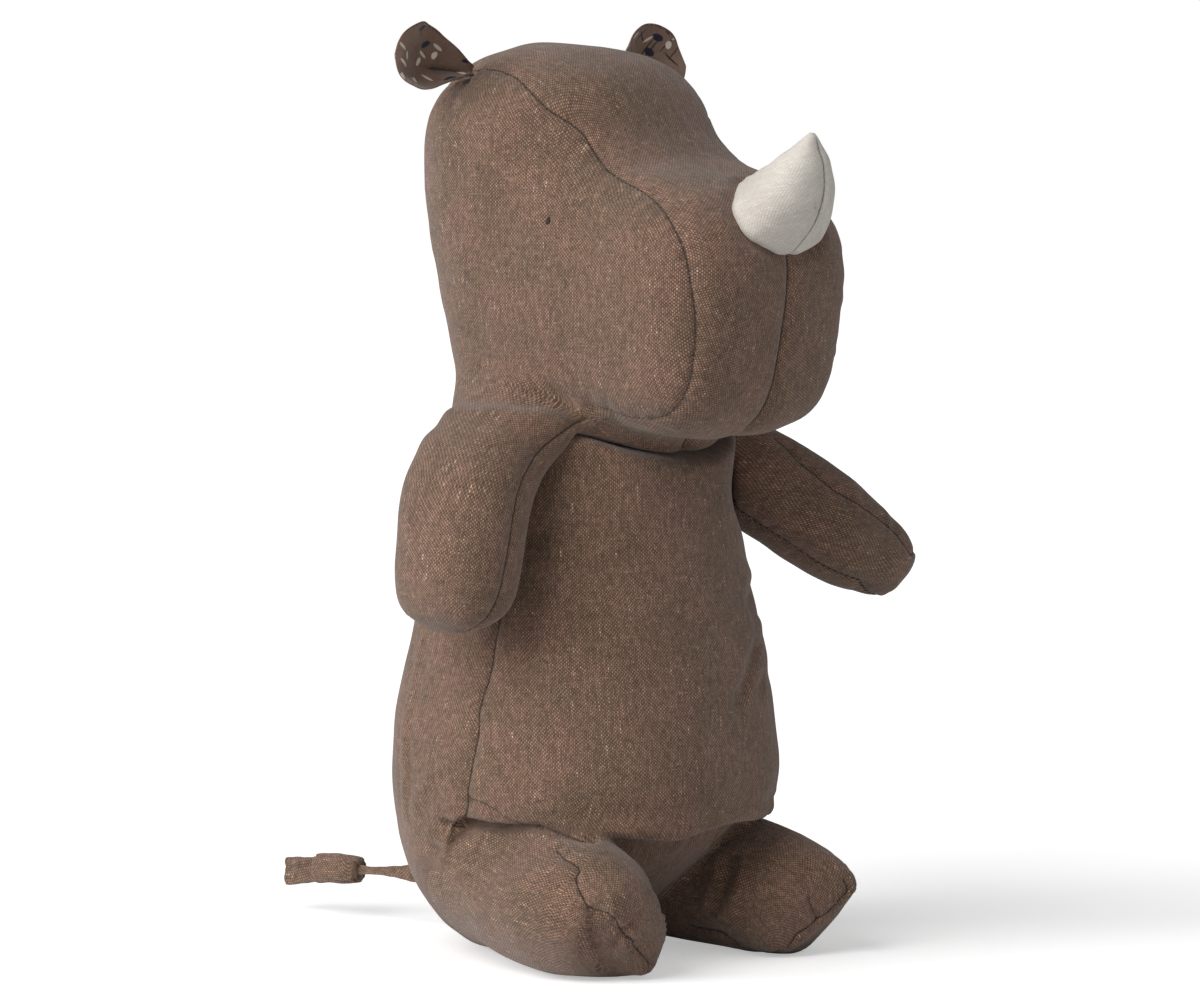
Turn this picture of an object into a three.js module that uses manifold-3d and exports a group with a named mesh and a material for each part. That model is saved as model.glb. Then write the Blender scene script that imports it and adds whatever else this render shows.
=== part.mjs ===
// A sewn and stuffed linen rhinoceros, sitting with its legs in front of it and its tail behind.
// Millimetres, +Z up, facing -Y; its own right side is -X. "Forward" below is a distance along -Y.
import * as THREE from "three";
import * as BufferGeometryUtils from "three/addons/utils/BufferGeometryUtils.js";
import Module from "manifold-3d";

// ---------------------------------------------------------------- driving dimensions

const GAP = 0.35; // clearance between pieces that are sewn together

// The head: a tall rounded column with a box-like muzzle blended on to its front.
const HEAD = {
  top: 330.8, // height of the crown
  crown: 32, // height over which the crown rounds off
  crownPower: 2.4, // squareness of the crown
  halfWidth: 53,
  halfDepth: 48,
  planPower: 2.15,
  lean: [[180, 4.5], [215, 2], [260, -4.6], [300, -7.4], [334, -8.4]], // height, forward shift of the column
  waist: [[180, 0.97], [215, 0.96], [255, 0.98], [300, 1], [334, 1]], // height, width factor
  blend: 20, // radius of the fillet between column and muzzle
  core: [0, 15, 252], // a point that sees the whole surface: side, forward, height
};
const MUZZLE = {
  forward: 50,
  height: 239,
  halfWidth: 50,
  halfLength: 48,
  halfHeight: 49,
  slope: 14, // degrees that its top falls towards the front
  power: 3,
};

// The seam between head and body, a shallow saddle: low under the chin, high at the shoulders.
const NECK = { height: 192.5, reach: 50, chinDrop: 9.5, shoulderRise: 7 };

// The body: height, half width, half depth, forward shift of the centre. Its base rounds back behind the legs.
const BODY = [
  [0, 22, 16, -24], [5, 32, 27, -19.5], [12, 42, 37, -16.5], [22, 52, 48, -12.5], [35, 60.5, 58, -7.5],
  [50, 66.8, 66, -2.4], [65, 69.4, 69.4, 0], [80, 68.6, 68.6, 0], [100, 65.4, 65.4, 0.6], [123, 62, 62, 1.4],
  [145, 59, 59, 2.2], [165, 54.6, 54.6, 3], [180, 51, 51, 4.2], [210, 49.5, 49.5, 4.5],
];
const BODY_POWER = 2.1;

// Limbs are two panels sewn along both edges: how far along, side, forward, height of the centre line,
// half width from edge to edge, half thickness between the panels.
const RIGHT_ARM = [
  [0, -38, 6, 196, 21, 6], [0.12, -48, 7, 194, 23, 13], [0.3, -61, 9, 185.5, 24.5, 17], [0.5, -73.5, 12, 171, 24.5, 19],
  [0.7, -79.5, 14, 152, 24, 19], [0.86, -82, 15, 138, 21, 16], [0.96, -83, 15.5, 128, 14, 10], [1, -83, 15.5, 124.5, 7, 2],
];
const LEFT_ARM = [
  [0, 38, 6, 188, 15, 6], [0.12, 48, 13, 182, 16, 13], [0.3, 61, 26, 173, 17.5, 17], [0.5, 75, 38, 161.5, 18.5, 18],
  [0.7, 89, 45, 151, 18.5, 17], [0.86, 101, 49, 143.5, 15.5, 14], [0.96, 111, 51.5, 137.4, 11, 8], [1, 115.5, 53, 135, 6.5, 2],
];
const RIGHT_LEG = [
  [0, -26, -26, 34, 12, 12], [0.1, -30, -19, 33, 19, 19], [0.3, -38, -1, 31, 24.5, 24.5], [0.6, -45.5, 25, 27, 25.6, 25.6],
  [0.82, -48.5, 47, 24.6, 25.8, 24.2], [0.94, -46.5, 64, 19, 22.5, 15], [1, -45, 71.5, 14.5, 18.5, 2],
];
const LEFT_LEG = [
  [0, 26, -26, 33, 12, 12], [0.1, 30, -19, 32, 19, 19], [0.3, 38, 0, 29, 24, 24], [0.6, 45, 28, 25.2, 24.6, 24.6],
  [0.82, 47, 51, 22.8, 23.8, 23.4], [0.94, 47, 67, 18.6, 22, 15], [1, 46.5, 74, 14.5, 18.5, 2],
];
const LIMB_POWER = 2.3;
const ARM_EDGE = { right: [0, 1, 0], left: [-0.2, 0.2, 0.95] }; // direction from one sewn edge to the other
const LEG_TILT = { side: 0.62, forward: 0.3, up: 0.72 };

const HORN = [
  [0, 0, 80, 266, 19, 17], [0.25, 0, 91, 272, 17.6, 15.5], [0.5, 0, 99.5, 280, 14, 13], [0.75, 0, 105, 289.5, 9, 8],
  [0.93, 0, 108, 297, 3.6, 3.2], [1, 0, 108.9, 299.6, 1.2, 1.2],
];
const EAR = [
  [0, 36, -20, 313, 5, 4], [0.2, 43, -20, 317.5, 8.5, 6], [0.5, 55, -20, 324, 12, 6.4], [0.75, 63, -20, 328, 11.6, 5.4],
  [0.92, 68.5, -20, 331, 7.8, 4], [1, 70.6, -20, 332, 3.5, 2.5],
];
const EAR_EDGE = { side: -0.4, up: 0.9 };
const EYE = { forward: 26.8, height: 268.5, radius: 2.2, depth: 1.4 };

const TAIL_STRAP = [[0, 0, -58, 21.4, 3.4, 1.6], [0.5, 0, -90, 20.4, 3.2, 1.6], [1, 0, -116.6, 18.9, 3, 1.6]];
const TAIL_KNOT = [
  [0, 0, -117.2, 18.9, 3.2, 2.6], [0.18, 0, -120, 18.8, 5, 4.4], [0.5, 0, -128, 18.6, 5.6, 5],
  [0.82, 0, -136, 17.6, 5, 4.4], [1, 0, -139, 17.2, 3.2, 2.6],
];
const TAIL_TIP = [[0, 0, -139.6, 17.1, 3.4, 1.8], [0.5, 0, -147, 15.8, 5, 2], [1, 0, -156.4, 14.6, 5.4, 1.6]];

const LINEN = { color: "#7b6457", roughness: 0.95 };
const PALE_LINEN = { color: "#c9c2b8", roughness: 0.93 };
const DARK_THREAD = { color: "#2c1c15", roughness: 0.85 };

// ---------------------------------------------------------------- curves and surfaces

// Values of a table [position, value, ...] at a position, on a smooth curve through its rows.
function along(table, position) {
  const last = table.length - 1;
  const t = Math.min(Math.max(position, table[0][0]), table[last][0]);
  let i = 0;
  while (i < last - 1 && t > table[i + 1][0]) i += 1;
  const [from, to] = [table[i], table[i + 1]];
  const step = to[0] - from[0];
  const s = (t - from[0]) / step;
  const slope = (k, c) => {
    const [a, b] = [table[Math.max(k - 1, 0)], table[Math.min(k + 1, last)]];
    return ((b[c] - a[c]) / (b[0] - a[0])) * step;
  };
  return from.slice(1).map((value, n) => {
    const c = n + 1;
    return (2 * s ** 3 - 3 * s ** 2 + 1) * value
      + (s ** 3 - 2 * s ** 2 + s) * slope(i, c)
      + (-2 * s ** 3 + 3 * s ** 2) * to[c]
      + (s ** 3 - s ** 2) * slope(i + 1, c);
  });
}

// A norm of two or three numbers: 2 gives round shapes, higher powers give boxier ones.
function norm(values, power) {
  return values.reduce((sum, v) => sum + Math.abs(v) ** power, 0) ** (1 / power);
}

function smoothMinimum(a, b, radius) {
  const h = THREE.MathUtils.clamp(0.5 + (0.5 * (b - a)) / radius, 0, 1);
  return b * (1 - h) + a * h - radius * h * (1 - h);
}

// Below zero inside the head.
function headField(side, forward, height) {
  const [lean] = along(HEAD.lean, height);
  const [waist] = along(HEAD.waist, height);
  const plan = norm([side / HEAD.halfWidth, (forward - lean) / HEAD.halfDepth], HEAD.planPower) / waist;
  const rise = Math.max(0, (height - HEAD.top + HEAD.crown) / HEAD.crown);
  const column = (norm([plan, rise], HEAD.crownPower) - 1) * HEAD.halfDepth;

  const slope = THREE.MathUtils.degToRad(MUZZLE.slope);
  const [out, up] = [forward - MUZZLE.forward, height - MUZZLE.height];
  const axes = [
    side / MUZZLE.halfWidth,
    (out * Math.cos(slope) - up * Math.sin(slope)) / MUZZLE.halfLength,
    (out * Math.sin(slope) + up * Math.cos(slope)) / MUZZLE.halfHeight,
  ];
  const muzzle = (norm(axes, MUZZLE.power) - 1) * MUZZLE.halfLength;
  return smoothMinimum(column, muzzle, HEAD.blend);
}

// Distance from a point inside the head, [side, forward, height], to its surface in a direction.
function headReach(direction, [side, forward, height] = HEAD.core) {
  let [inside, outside] = [0, 160];
  for (let n = 0; n < 32; n += 1) {
    const t = (inside + outside) / 2;
    const value = headField(side + t * direction.x, forward - t * direction.y, height + t * direction.z);
    if (value < 0) inside = t;
    else outside = t;
  }
  return inside;
}

// A closed surface seen from one point: a box of equal-angle squares pushed out to the reach of each direction.
function starGeometry(cells, core, reach) {
  const geometry = new THREE.BoxGeometry(2, 2, 2, cells, cells, cells);
  const points = geometry.attributes.position;
  const direction = new THREE.Vector3();
  for (let i = 0; i < points.count; i += 1) {
    direction.fromBufferAttribute(points, i);
    for (const axis of ["x", "y", "z"]) {
      direction[axis] = Math.tan((direction[axis] * Math.PI) / 4);
    }
    direction.normalize();
    const distance = reach(direction);
    points.setXYZ(
      i,
      core[0] + direction.x * distance,
      -core[1] + direction.y * distance,
      core[2] + direction.z * distance,
    );
  }
  return geometry;
}

// A closed solid from rings of points, each ring with the same number of them, capped at both ends.
function loft(rings) {
  const count = rings[0].length;
  const points = rings.flat();
  const index = [];
  for (let k = 0; k < rings.length - 1; k += 1) {
    for (let i = 0; i < count; i += 1) {
      const [a, b] = [k * count + i, k * count + ((i + 1) % count)];
      index.push(a, b, b + count, a, b + count, a + count);
    }
  }
  const [first, last] = [0, (rings.length - 1) * count];
  for (let i = 1; i < count - 1; i += 1) {
    index.push(first, first + i + 1, first + i);
    index.push(last, last + i, last + i + 1);
  }
  const geometry = new THREE.BufferGeometry();
  geometry.setAttribute("position", new THREE.Float32BufferAttribute(points.flatMap((p) => p.toArray()), 3));
  geometry.setIndex(index);
  return geometry;
}

// The body: level rings, a little closer together where the base rounds under.
function bodyGeometry(grow, ringCount = 22, around = 36) {
  const rings = [];
  const top = BODY[BODY.length - 1][0];
  for (let k = 0; k <= ringCount; k += 1) {
    const height = top * (k / ringCount) ** 1.25;
    const [halfWidth, halfDepth, shift] = along(BODY, height);
    rings.push(Array.from({ length: around }, (_, i) => {
      const angle = (i / around) * 2 * Math.PI;
      const [c, s] = [Math.cos(angle), Math.sin(angle)];
      const reach = 1 / norm([c, s], BODY_POWER);
      return new THREE.Vector3(
        (halfWidth + grow) * reach * c,
        (halfDepth + grow) * reach * s - shift,
        height - (k === 0 ? grow : 0),
      );
    }));
  }
  return loft(rings);
}

// A stuffed two-panel limb along its centre line, its sewn edges lying in the direction given.
function limbGeometry(table, edge, power = LIMB_POWER, stations = 14, around = 18) {
  const towardsEdge = new THREE.Vector3(edge[0], -edge[1], edge[2]);
  const centre = (t) => {
    const [side, forward, height] = along(table, t);
    return new THREE.Vector3(side, -forward, height);
  };
  const rings = [];
  for (let k = 0; k <= stations; k += 1) {
    const t = (1 - Math.cos((k / stations) * Math.PI)) / 2;
    const [, , , halfWidth, halfThickness] = along(table, t);
    const tangent = centre(Math.min(1, t + 0.01)).sub(centre(Math.max(0, t - 0.01))).normalize();
    const across = towardsEdge.clone().addScaledVector(tangent, -towardsEdge.dot(tangent)).normalize();
    const through = new THREE.Vector3().crossVectors(tangent, across);
    const middle = centre(t);
    rings.push(Array.from({ length: around }, (_, i) => {
      const angle = (i / around) * 2 * Math.PI;
      const [c, s] = [Math.cos(angle), Math.sin(angle)];
      const reach = 1 / norm([c, s], power);
      return middle.clone()
        .addScaledVector(across, halfWidth * reach * c)
        .addScaledVector(through, halfThickness * reach * s);
    }));
  }
  return loft(rings);
}

// Everything below the neck seam, raised by a given amount: a block with a saddle-shaped top.
function belowNeckGeometry(raise, cells = 16) {
  const half = 150;
  const geometry = new THREE.BoxGeometry(2 * half, 2 * half, 2 * half, cells, cells, 1);
  const points = geometry.attributes.position;
  for (let i = 0; i < points.count; i += 1) {
    const [side, forward] = [points.getX(i), -points.getY(i)];
    const shoulder = NECK.shoulderRise * (side / NECK.reach) ** 2;
    const chin = NECK.chinDrop * (Math.max(0, forward) / NECK.reach) ** 2;
    const top = NECK.height + Math.min(shoulder, 3 * NECK.shoulderRise) - Math.min(chin, 3 * NECK.chinDrop) + raise;
    points.setZ(i, points.getZ(i) > 0 ? top : -half);
  }
  return geometry;
}

// ---------------------------------------------------------------- solids

const wasm = await Module();
wasm.setup();

function solid(geometry) {
  const bare = geometry.clone();
  bare.deleteAttribute("normal");
  bare.deleteAttribute("uv");
  const merged = BufferGeometryUtils.mergeVertices(bare, 1e-4);
  return new wasm.Manifold(new wasm.Mesh({
    numProp: 3,
    vertProperties: Float32Array.from(merged.attributes.position.array),
    triVerts: Uint32Array.from(merged.index.array),
  }));
}

// The largest connected piece, so that a cut leaves no crumbs.
function largest(shape) {
  return shape.decompose().sort((a, b) => b.volume() - a.volume())[0];
}

function named(name, shape, finish) {
  const { vertProperties, triVerts } = largest(shape).getMesh();
  const geometry = new THREE.BufferGeometry();
  geometry.setAttribute("position", new THREE.BufferAttribute(Float32Array.from(vertProperties), 3));
  geometry.setIndex(Array.from(triVerts));
  geometry.computeVertexNormals();
  const mesh = new THREE.Mesh(geometry, new THREE.MeshStandardMaterial({ ...finish, metalness: 0 }));
  mesh.name = name;
  return mesh;
}

const mirrored = (table) => table.map(([t, side, ...rest]) => [t, -side, ...rest]);

const FLOOR_BLOCK = 400;
const belowFloor = solid(
  new THREE.BoxGeometry(FLOOR_BLOCK, FLOOR_BLOCK, FLOOR_BLOCK).translate(0, 0, -FLOOR_BLOCK / 2),
);
const headBlank = solid(starGeometry(14, HEAD.core, headReach));
const headRoom = solid(starGeometry(14, HEAD.core, (direction) => headReach(direction) + GAP));
const bodyRoom = solid(bodyGeometry(GAP));

const head = headBlank.subtract(solid(belowNeckGeometry(GAP / 2)));
const body = solid(bodyGeometry(0)).intersect(solid(belowNeckGeometry(-GAP / 2)));

function arm(table, edge) {
  return solid(limbGeometry(table, edge)).subtract(headRoom).subtract(bodyRoom);
}

function leg(table, side) {
  const edge = [side * LEG_TILT.side, LEG_TILT.forward, LEG_TILT.up];
  return solid(limbGeometry(table, edge)).subtract(bodyRoom).subtract(belowFloor);
}

function ear(side) {
  const table = side < 0 ? mirrored(EAR) : EAR;
  return solid(limbGeometry(table, [side * EAR_EDGE.side, 0, EAR_EDGE.up], 2, 10, 14)).subtract(headRoom);
}

function eye(side) {
  const cheek = headReach(new THREE.Vector3(1, 0, 0), [0, EYE.forward, EYE.height]);
  const knot = new THREE.SphereGeometry(EYE.radius, 12, 8).scale(EYE.depth / EYE.radius, 1, 1.2);
  return solid(knot.translate(side * cheek, -EYE.forward, EYE.height)).subtract(headRoom);
}

// ---------------------------------------------------------------- the toy

const toy = new THREE.Group();
toy.add(
  named("head", head, LINEN),
  named("torso", body, LINEN),
  named("arm_right", arm(RIGHT_ARM, ARM_EDGE.right), LINEN),
  named("arm_left", arm(LEFT_ARM, ARM_EDGE.left), LINEN),
  named("leg_right", leg(RIGHT_LEG, -1), LINEN),
  named("leg_left", leg(LEFT_LEG, 1), LINEN),
  named("horn", solid(limbGeometry(HORN, [1, 0, 0], 2, 10, 18)).subtract(headRoom), PALE_LINEN),
  named("ear_right", ear(-1), LINEN),
  named("ear_left", ear(1), LINEN),
  named("eye_right", eye(-1), DARK_THREAD),
  named("eye_left", eye(1), DARK_THREAD),
  named("tail_strap", solid(limbGeometry(TAIL_STRAP, [0, 0, 1], 3, 6, 10)).subtract(bodyRoom), LINEN),
  named("tail_knot", solid(limbGeometry(TAIL_KNOT, [0, 0, 1], 2, 6, 12)), LINEN),
  named("tail_tip", solid(limbGeometry(TAIL_TIP, [0, 0, 1], 3, 4, 10)), LINEN),
);

// The origin is on the floor, under the middle of the toy's outline.
const box = new THREE.Box3().setFromObject(toy);
toy.position.set(-(box.min.x + box.max.x) / 2, -(box.min.y + box.max.y) / 2, -box.min.z);

export default toy;
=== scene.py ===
"""A sewn and stuffed linen rhinoceros, sitting with its legs in front of it and its tail behind.

Shapes are worked out in millimetres in the toy's own frame: X to the toy's left, Y backwards, Z up, with the
origin on the floor under the middle of its body. "Forward" is a distance along -Y. `to_row` puts finished
points into the row frame, in metres.
"""

import logging
import math
from dataclasses import dataclass, field
from enum import IntEnum
from typing import Callable

import bpy
import numpy as np
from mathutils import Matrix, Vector


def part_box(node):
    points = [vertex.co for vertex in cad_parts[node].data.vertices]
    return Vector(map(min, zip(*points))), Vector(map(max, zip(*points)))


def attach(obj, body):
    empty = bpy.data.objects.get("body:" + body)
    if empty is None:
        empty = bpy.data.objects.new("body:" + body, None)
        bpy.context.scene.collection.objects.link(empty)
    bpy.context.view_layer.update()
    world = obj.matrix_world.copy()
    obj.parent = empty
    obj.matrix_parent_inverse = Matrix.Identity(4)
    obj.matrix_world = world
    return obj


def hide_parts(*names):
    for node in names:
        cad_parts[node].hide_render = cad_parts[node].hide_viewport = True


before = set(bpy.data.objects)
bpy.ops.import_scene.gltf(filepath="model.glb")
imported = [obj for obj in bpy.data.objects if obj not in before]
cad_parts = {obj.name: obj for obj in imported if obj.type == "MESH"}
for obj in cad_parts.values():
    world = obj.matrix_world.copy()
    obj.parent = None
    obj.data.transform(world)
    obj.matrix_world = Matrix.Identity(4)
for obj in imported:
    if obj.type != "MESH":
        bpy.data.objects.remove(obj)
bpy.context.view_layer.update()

log = logging.getLogger("linen_rhinoceros")

Array = np.ndarray
Pair = tuple[float, float]
Triple = tuple[float, float, float]
Table = tuple[tuple[float, ...], ...]
Socket = bpy.types.NodeSocket
Material = bpy.types.Material
Object = bpy.types.Object

MILLIMETRE = 0.001
BODY = "root"
GAP = 0.35  # clearance between skins that are sewn together
SAMPLE = 0.6  # distance between the points of a seam's line
FAR = 9.0  # what the seam mark says where no seam is near
DARK_REACH = (1.2, 2.2)  # distances from a seam between which its dark line ends

WEAVE_MAP = "weave"
SEAM_MARK = "seam"  # signed distance from the nearest seam, in millimetres
SEAM_DARK_AND_CREASE_SHADE_MARK = "seam_depth"  # how dark a seam's line is, from 0 to 1; along the lap creases it is painted shade
OUTWARD_MARK = "outward"


# ------------------------------------------------------------------ places and curves


def toy_origin() -> Array:
    """Where the toy's own frame starts in the row frame, in metres.

    Returns:
        The point on the floor under the middle of the body.
    """
    low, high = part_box("torso")
    return np.array([(low.x + high.x) / 2, (low.y + high.y) / 2, 0.0])


ORIGIN = toy_origin()


def to_row(points: Array) -> Array:
    """Points of the toy's frame, in millimetres, as points of the row frame, in metres."""
    return points * MILLIMETRE + ORIGIN


def spot(side: float, forward: float, height: float) -> Array:
    """A point of the toy's frame from its distances to the left, forward and up."""
    return np.array([side, -forward, height], float)


def spots(rows: Table) -> Array:
    """Points of the toy's frame from rows of (side, forward, height)."""
    return np.array([spot(*row) for row in rows])


def along(table: Table, position: Array) -> Array:
    """Values of a table on a smooth curve through its rows.

    Args:
        table: rows of a position and one or more values, in rising order of position.
        position: where the values are wanted.

    Returns:
        One row of values for each position.
    """
    rows = np.array(table, float)
    last = len(rows) - 1
    t = np.clip(np.atleast_1d(position), rows[0, 0], rows[last, 0])
    i = np.clip(np.searchsorted(rows[:, 0], t, side="right") - 1, 0, last - 1)
    before, start = rows[np.maximum(i - 1, 0)], rows[i]
    end, after = rows[i + 1], rows[np.minimum(i + 2, last)]
    step = end[:, :1] - start[:, :1]
    s = (t[:, None] - start[:, :1]) / step
    leaving = (end - before)[:, 1:] / (end - before)[:, :1] * step
    arriving = (after - start)[:, 1:] / (after - start)[:, :1] * step
    return (
        (2 * s**3 - 3 * s**2 + 1) * start[:, 1:]
        + (s**3 - 2 * s**2 + s) * leaving
        + (-2 * s**3 + 3 * s**2) * end[:, 1:]
        + (s**3 - s**2) * arriving
    )


def run_of(line: Array) -> Array:
    """How far along a line each of its points is."""
    return np.r_[0.0, np.cumsum(np.linalg.norm(np.diff(line, axis=0), axis=1))]


def curve_through(points: Array, spacing: float) -> Array:
    """A smooth curve through points, as points at an even spacing.

    Args:
        points: the points to pass through, in order.
        spacing: the distance between the points that come back.

    Returns:
        Points along the curve.
    """
    reach = run_of(points)
    fine = along(np.c_[reach, points], np.linspace(0, reach[-1], 12 * len(points)))
    run = run_of(fine)
    even = np.linspace(0, run[-1], max(3, round(run[-1] / spacing) + 1))
    return np.stack([np.interp(even, run, fine[:, axis]) for axis in range(3)], axis=1)


def norm(power: float, *values: Array) -> Array:
    """A norm of two or three numbers: 2 gives round shapes, higher powers give boxier ones."""
    return sum(np.abs(v) ** power for v in values) ** (1 / power)


def smooth_minimum(a: Array, b: Array, radius: Array | float) -> tuple[Array, Array]:
    """The smaller of two fields, with a fillet where they meet.

    Args:
        a: the first field.
        b: the second field.
        radius: size of the fillet.

    Returns:
        The joined field, and the share of b in it, from 0 to 1.
    """
    share = np.clip(0.5 + 0.5 * (a - b) / radius, 0, 1)
    return a * (1 - share) + b * share - radius * share * (1 - share), share


def smooth_maximum(a: Array, b: Array, radius: float) -> Array:
    """The larger of two fields, with a rounded edge where they meet."""
    return -smooth_minimum(-a, -b, radius)[0]


def ramp(value: Array, start: float, end: float) -> Array:
    """A smooth step from 0 at start to 1 at end."""
    t = np.clip((value - start) / (end - start), 0, 1)
    return t * t * (3 - 2 * t)


def hump(distance: Array, width: float) -> Array:
    """A soft hump that is 1 at no distance and falls to a third at its width."""
    return np.exp(-((distance / width) ** 2))


def unit(vectors: Array) -> Array:
    """Vectors brought to length 1."""
    return vectors / np.maximum(np.linalg.norm(vectors, axis=-1, keepdims=True), 1e-9)


def drift(points: Array, wavelength: float, seed: int, waves: int = 14) -> Array:
    """A smooth field of chance, made of plane waves in random directions.

    Args:
        points: where it is wanted, in as many columns as the field has dimensions.
        wavelength: rough size of its bumps.
        seed: picks the field.
        waves: how many waves are added.

    Returns:
        Values spread about 0, mostly between -1 and 1.
    """
    chance = np.random.default_rng(seed)
    directions = unit(chance.normal(size=(waves, points.shape[1])))
    lengths = wavelength * chance.uniform(0.7, 1.5, waves)
    phases = points @ (directions / lengths[:, None] * 2 * math.pi).T + chance.uniform(0, 2 * math.pi, waves)
    return np.sin(phases).sum(axis=1) / math.sqrt(waves / 2) * 0.6


def nearest_numbers(points: Array, path: Array, chunk: int) -> Array:
    """Finds the nearest point of a path to each point.

    Args:
        points: the points.
        path: the points to choose from.
        chunk: how many points are worked out at once.

    Returns:
        The chosen point's number, for each point.
    """
    parts = np.array_split(points, max(1, len(points) // chunk))
    squares = (((part[:, None, :] - path[None]) ** 2).sum(axis=2) for part in parts)
    return np.concatenate([square.argmin(axis=1) for square in squares])


def flat_bearing(points: Array, shift: Array | float = 0.0) -> Array:
    """The angle of each point about the body's axis: 0 in front, positive to the toy's left."""
    return np.arctan2(points[:, 0], -points[:, 1] - shift)


# ------------------------------------------------------------------ stuffed forms


class Form:
    """A stuffed shape, known by a field that is below zero inside it and grows outwards."""

    PROBE = 0.02
    LONGEST_STEP = 1.5

    def field(self, points: Array) -> Array:
        """The field at some points of the toy's frame."""
        raise NotImplementedError

    def slope(self, points: Array) -> tuple[Array, Array]:
        """The field and how it changes.

        Args:
            points: where they are wanted.

        Returns:
            The field's values and its gradients.
        """
        value = self.field(points)
        steps = [(self.field(points + self.PROBE * axis) - value) / self.PROBE for axis in np.eye(3)]
        return value, np.stack(steps, axis=1)

    def settle(self, points: Array, rounds: int = 3) -> Array:
        """Moves points on to the surface.

        Args:
            points: points near the surface.
            rounds: how many steps to take.

        Returns:
            The moved points.
        """
        for _ in range(rounds):
            value, slope = self.slope(points)
            steep = np.maximum(np.linalg.norm(slope, axis=1), 1e-3)
            step = np.clip(value / steep, -self.LONGEST_STEP, self.LONGEST_STEP)
            points = points - slope * (step / steep)[:, None]
        return points

    def reach(self, origin: Array, directions: Array, furthest: float = 200.0) -> Array:
        """How far the surface is from a point inside it.

        Args:
            origin: a point inside, or one for each direction.
            directions: unit vectors.
            furthest: a distance that is outside in every direction.

        Returns:
            One distance for each direction.
        """
        inside = np.zeros(len(directions))
        outside = np.full(len(directions), furthest)
        for _ in range(30):
            middle = (inside + outside) / 2
            within = self.field(origin + directions * middle[:, None]) < 0
            inside = np.where(within, middle, inside)
            outside = np.where(within, outside, middle)
        return inside


@dataclass(frozen=True)
class Neck:
    """The seam between head and body, a shallow saddle: low under the chin, high at the shoulders."""

    height: float = 192.5
    reach: float = 50.0
    chin_drop: float = 9.5
    shoulder_rise: float = 7.0
    limit: float = 3.0
    roll: float = 3.0  # how softly the two skins turn in to the seam

    def level(self, points: Array) -> Array:
        """Height of the seam above or below each point."""
        shoulder = (points[:, 0] / self.reach) ** 2
        chin = (np.maximum(0, -points[:, 1]) / self.reach) ** 2
        rise = self.shoulder_rise * np.minimum(shoulder, self.limit)
        return self.height + rise - self.chin_drop * np.minimum(chin, self.limit)


@dataclass
class HeadForm(Form):
    """A tall rounded column with a box-like muzzle blended on to its front."""

    top: float = 330.8
    crown: float = 38.0
    crown_power: float = 2.4
    half_width: float = 53.0
    half_depth: float = 48.0
    plan_power: float = 2.15
    lean: Table = ((180, 4.5), (215, 2), (260, -4.6), (300, -7.4), (334, -8.4))
    waist: Table = ((180, 0.91), (210, 0.925), (245, 0.985), (285, 1.03), (312, 1.01), (334, 1))
    muzzle_forward: float = 50.0
    muzzle_height: float = 239.0
    muzzle_half_width: float = 50.0
    muzzle_half_length: float = 48.0
    muzzle_half_height: float = 50.2
    muzzle_half_depth: float = 43.2  # the same, below its middle
    muzzle_slope: float = math.radians(16)
    muzzle_face: float = math.radians(11.5)  # slope of its front
    muzzle_power: float = 3.15
    blend: float = 18.0
    core: Triple = (0.0, 15.0, 252.0)

    def field(self, points: Array) -> Array:
        """The head without its neck, which runs on downwards."""
        side, forward, height = points[:, 0], -points[:, 1], points[:, 2]
        lean = along(self.lean, height)[:, 0]
        waist = along(self.waist, height)[:, 0]
        plan = norm(self.plan_power, side / self.half_width, (forward - lean) / self.half_depth) / waist
        above = np.maximum(0, (height - self.top + self.crown) / self.crown)
        column = (norm(self.crown_power, plan, above) - 1) * self.half_depth
        out, up = forward - self.muzzle_forward, height - self.muzzle_height
        c, s = math.cos(self.muzzle_slope), math.sin(self.muzzle_slope)
        rise = out * s + up * c
        muzzle = norm(
            self.muzzle_power,
            side / self.muzzle_half_width,
            (out * math.cos(self.muzzle_face) - up * math.sin(self.muzzle_face)) / self.muzzle_half_length,
            rise / np.where(rise > 0, self.muzzle_half_height, self.muzzle_half_depth),
        )
        return smooth_minimum(column, (muzzle - 1) * self.muzzle_half_length, self.blend)[0]

    def bearing(self, points: Array) -> Array:
        """The angle of each point about the head's core, seen from the side: 0 forwards, rising upwards."""
        return np.arctan2(points[:, 2] - self.core[2], -points[:, 1] - self.core[1])

    def at(self, side: Array, bearing: Array) -> Array:
        """Points of the surface at a given side and bearing."""
        origin = np.stack([side, np.full_like(side, -self.core[1]), np.full_like(side, self.core[2])], axis=1)
        directions = np.stack([np.zeros_like(side), -np.cos(bearing), np.sin(bearing)], axis=1)
        return origin + directions * self.reach(origin, directions)[:, None]


@dataclass
class LimbPlace:
    """Where points are in a limb's own terms, in millimetres."""

    run: Array  # distance along the centre line
    across: Array  # towards one sewn edge
    through: Array  # from one panel to the other
    half_width: Array
    half_thickness: Array
    past: Array  # distance beyond the nearer end

    def angle(self) -> Array:
        """The angle round the limb from its first seam, in degrees."""
        return np.degrees(np.arctan2(self.through / self.half_thickness, self.across / self.half_width))


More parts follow.
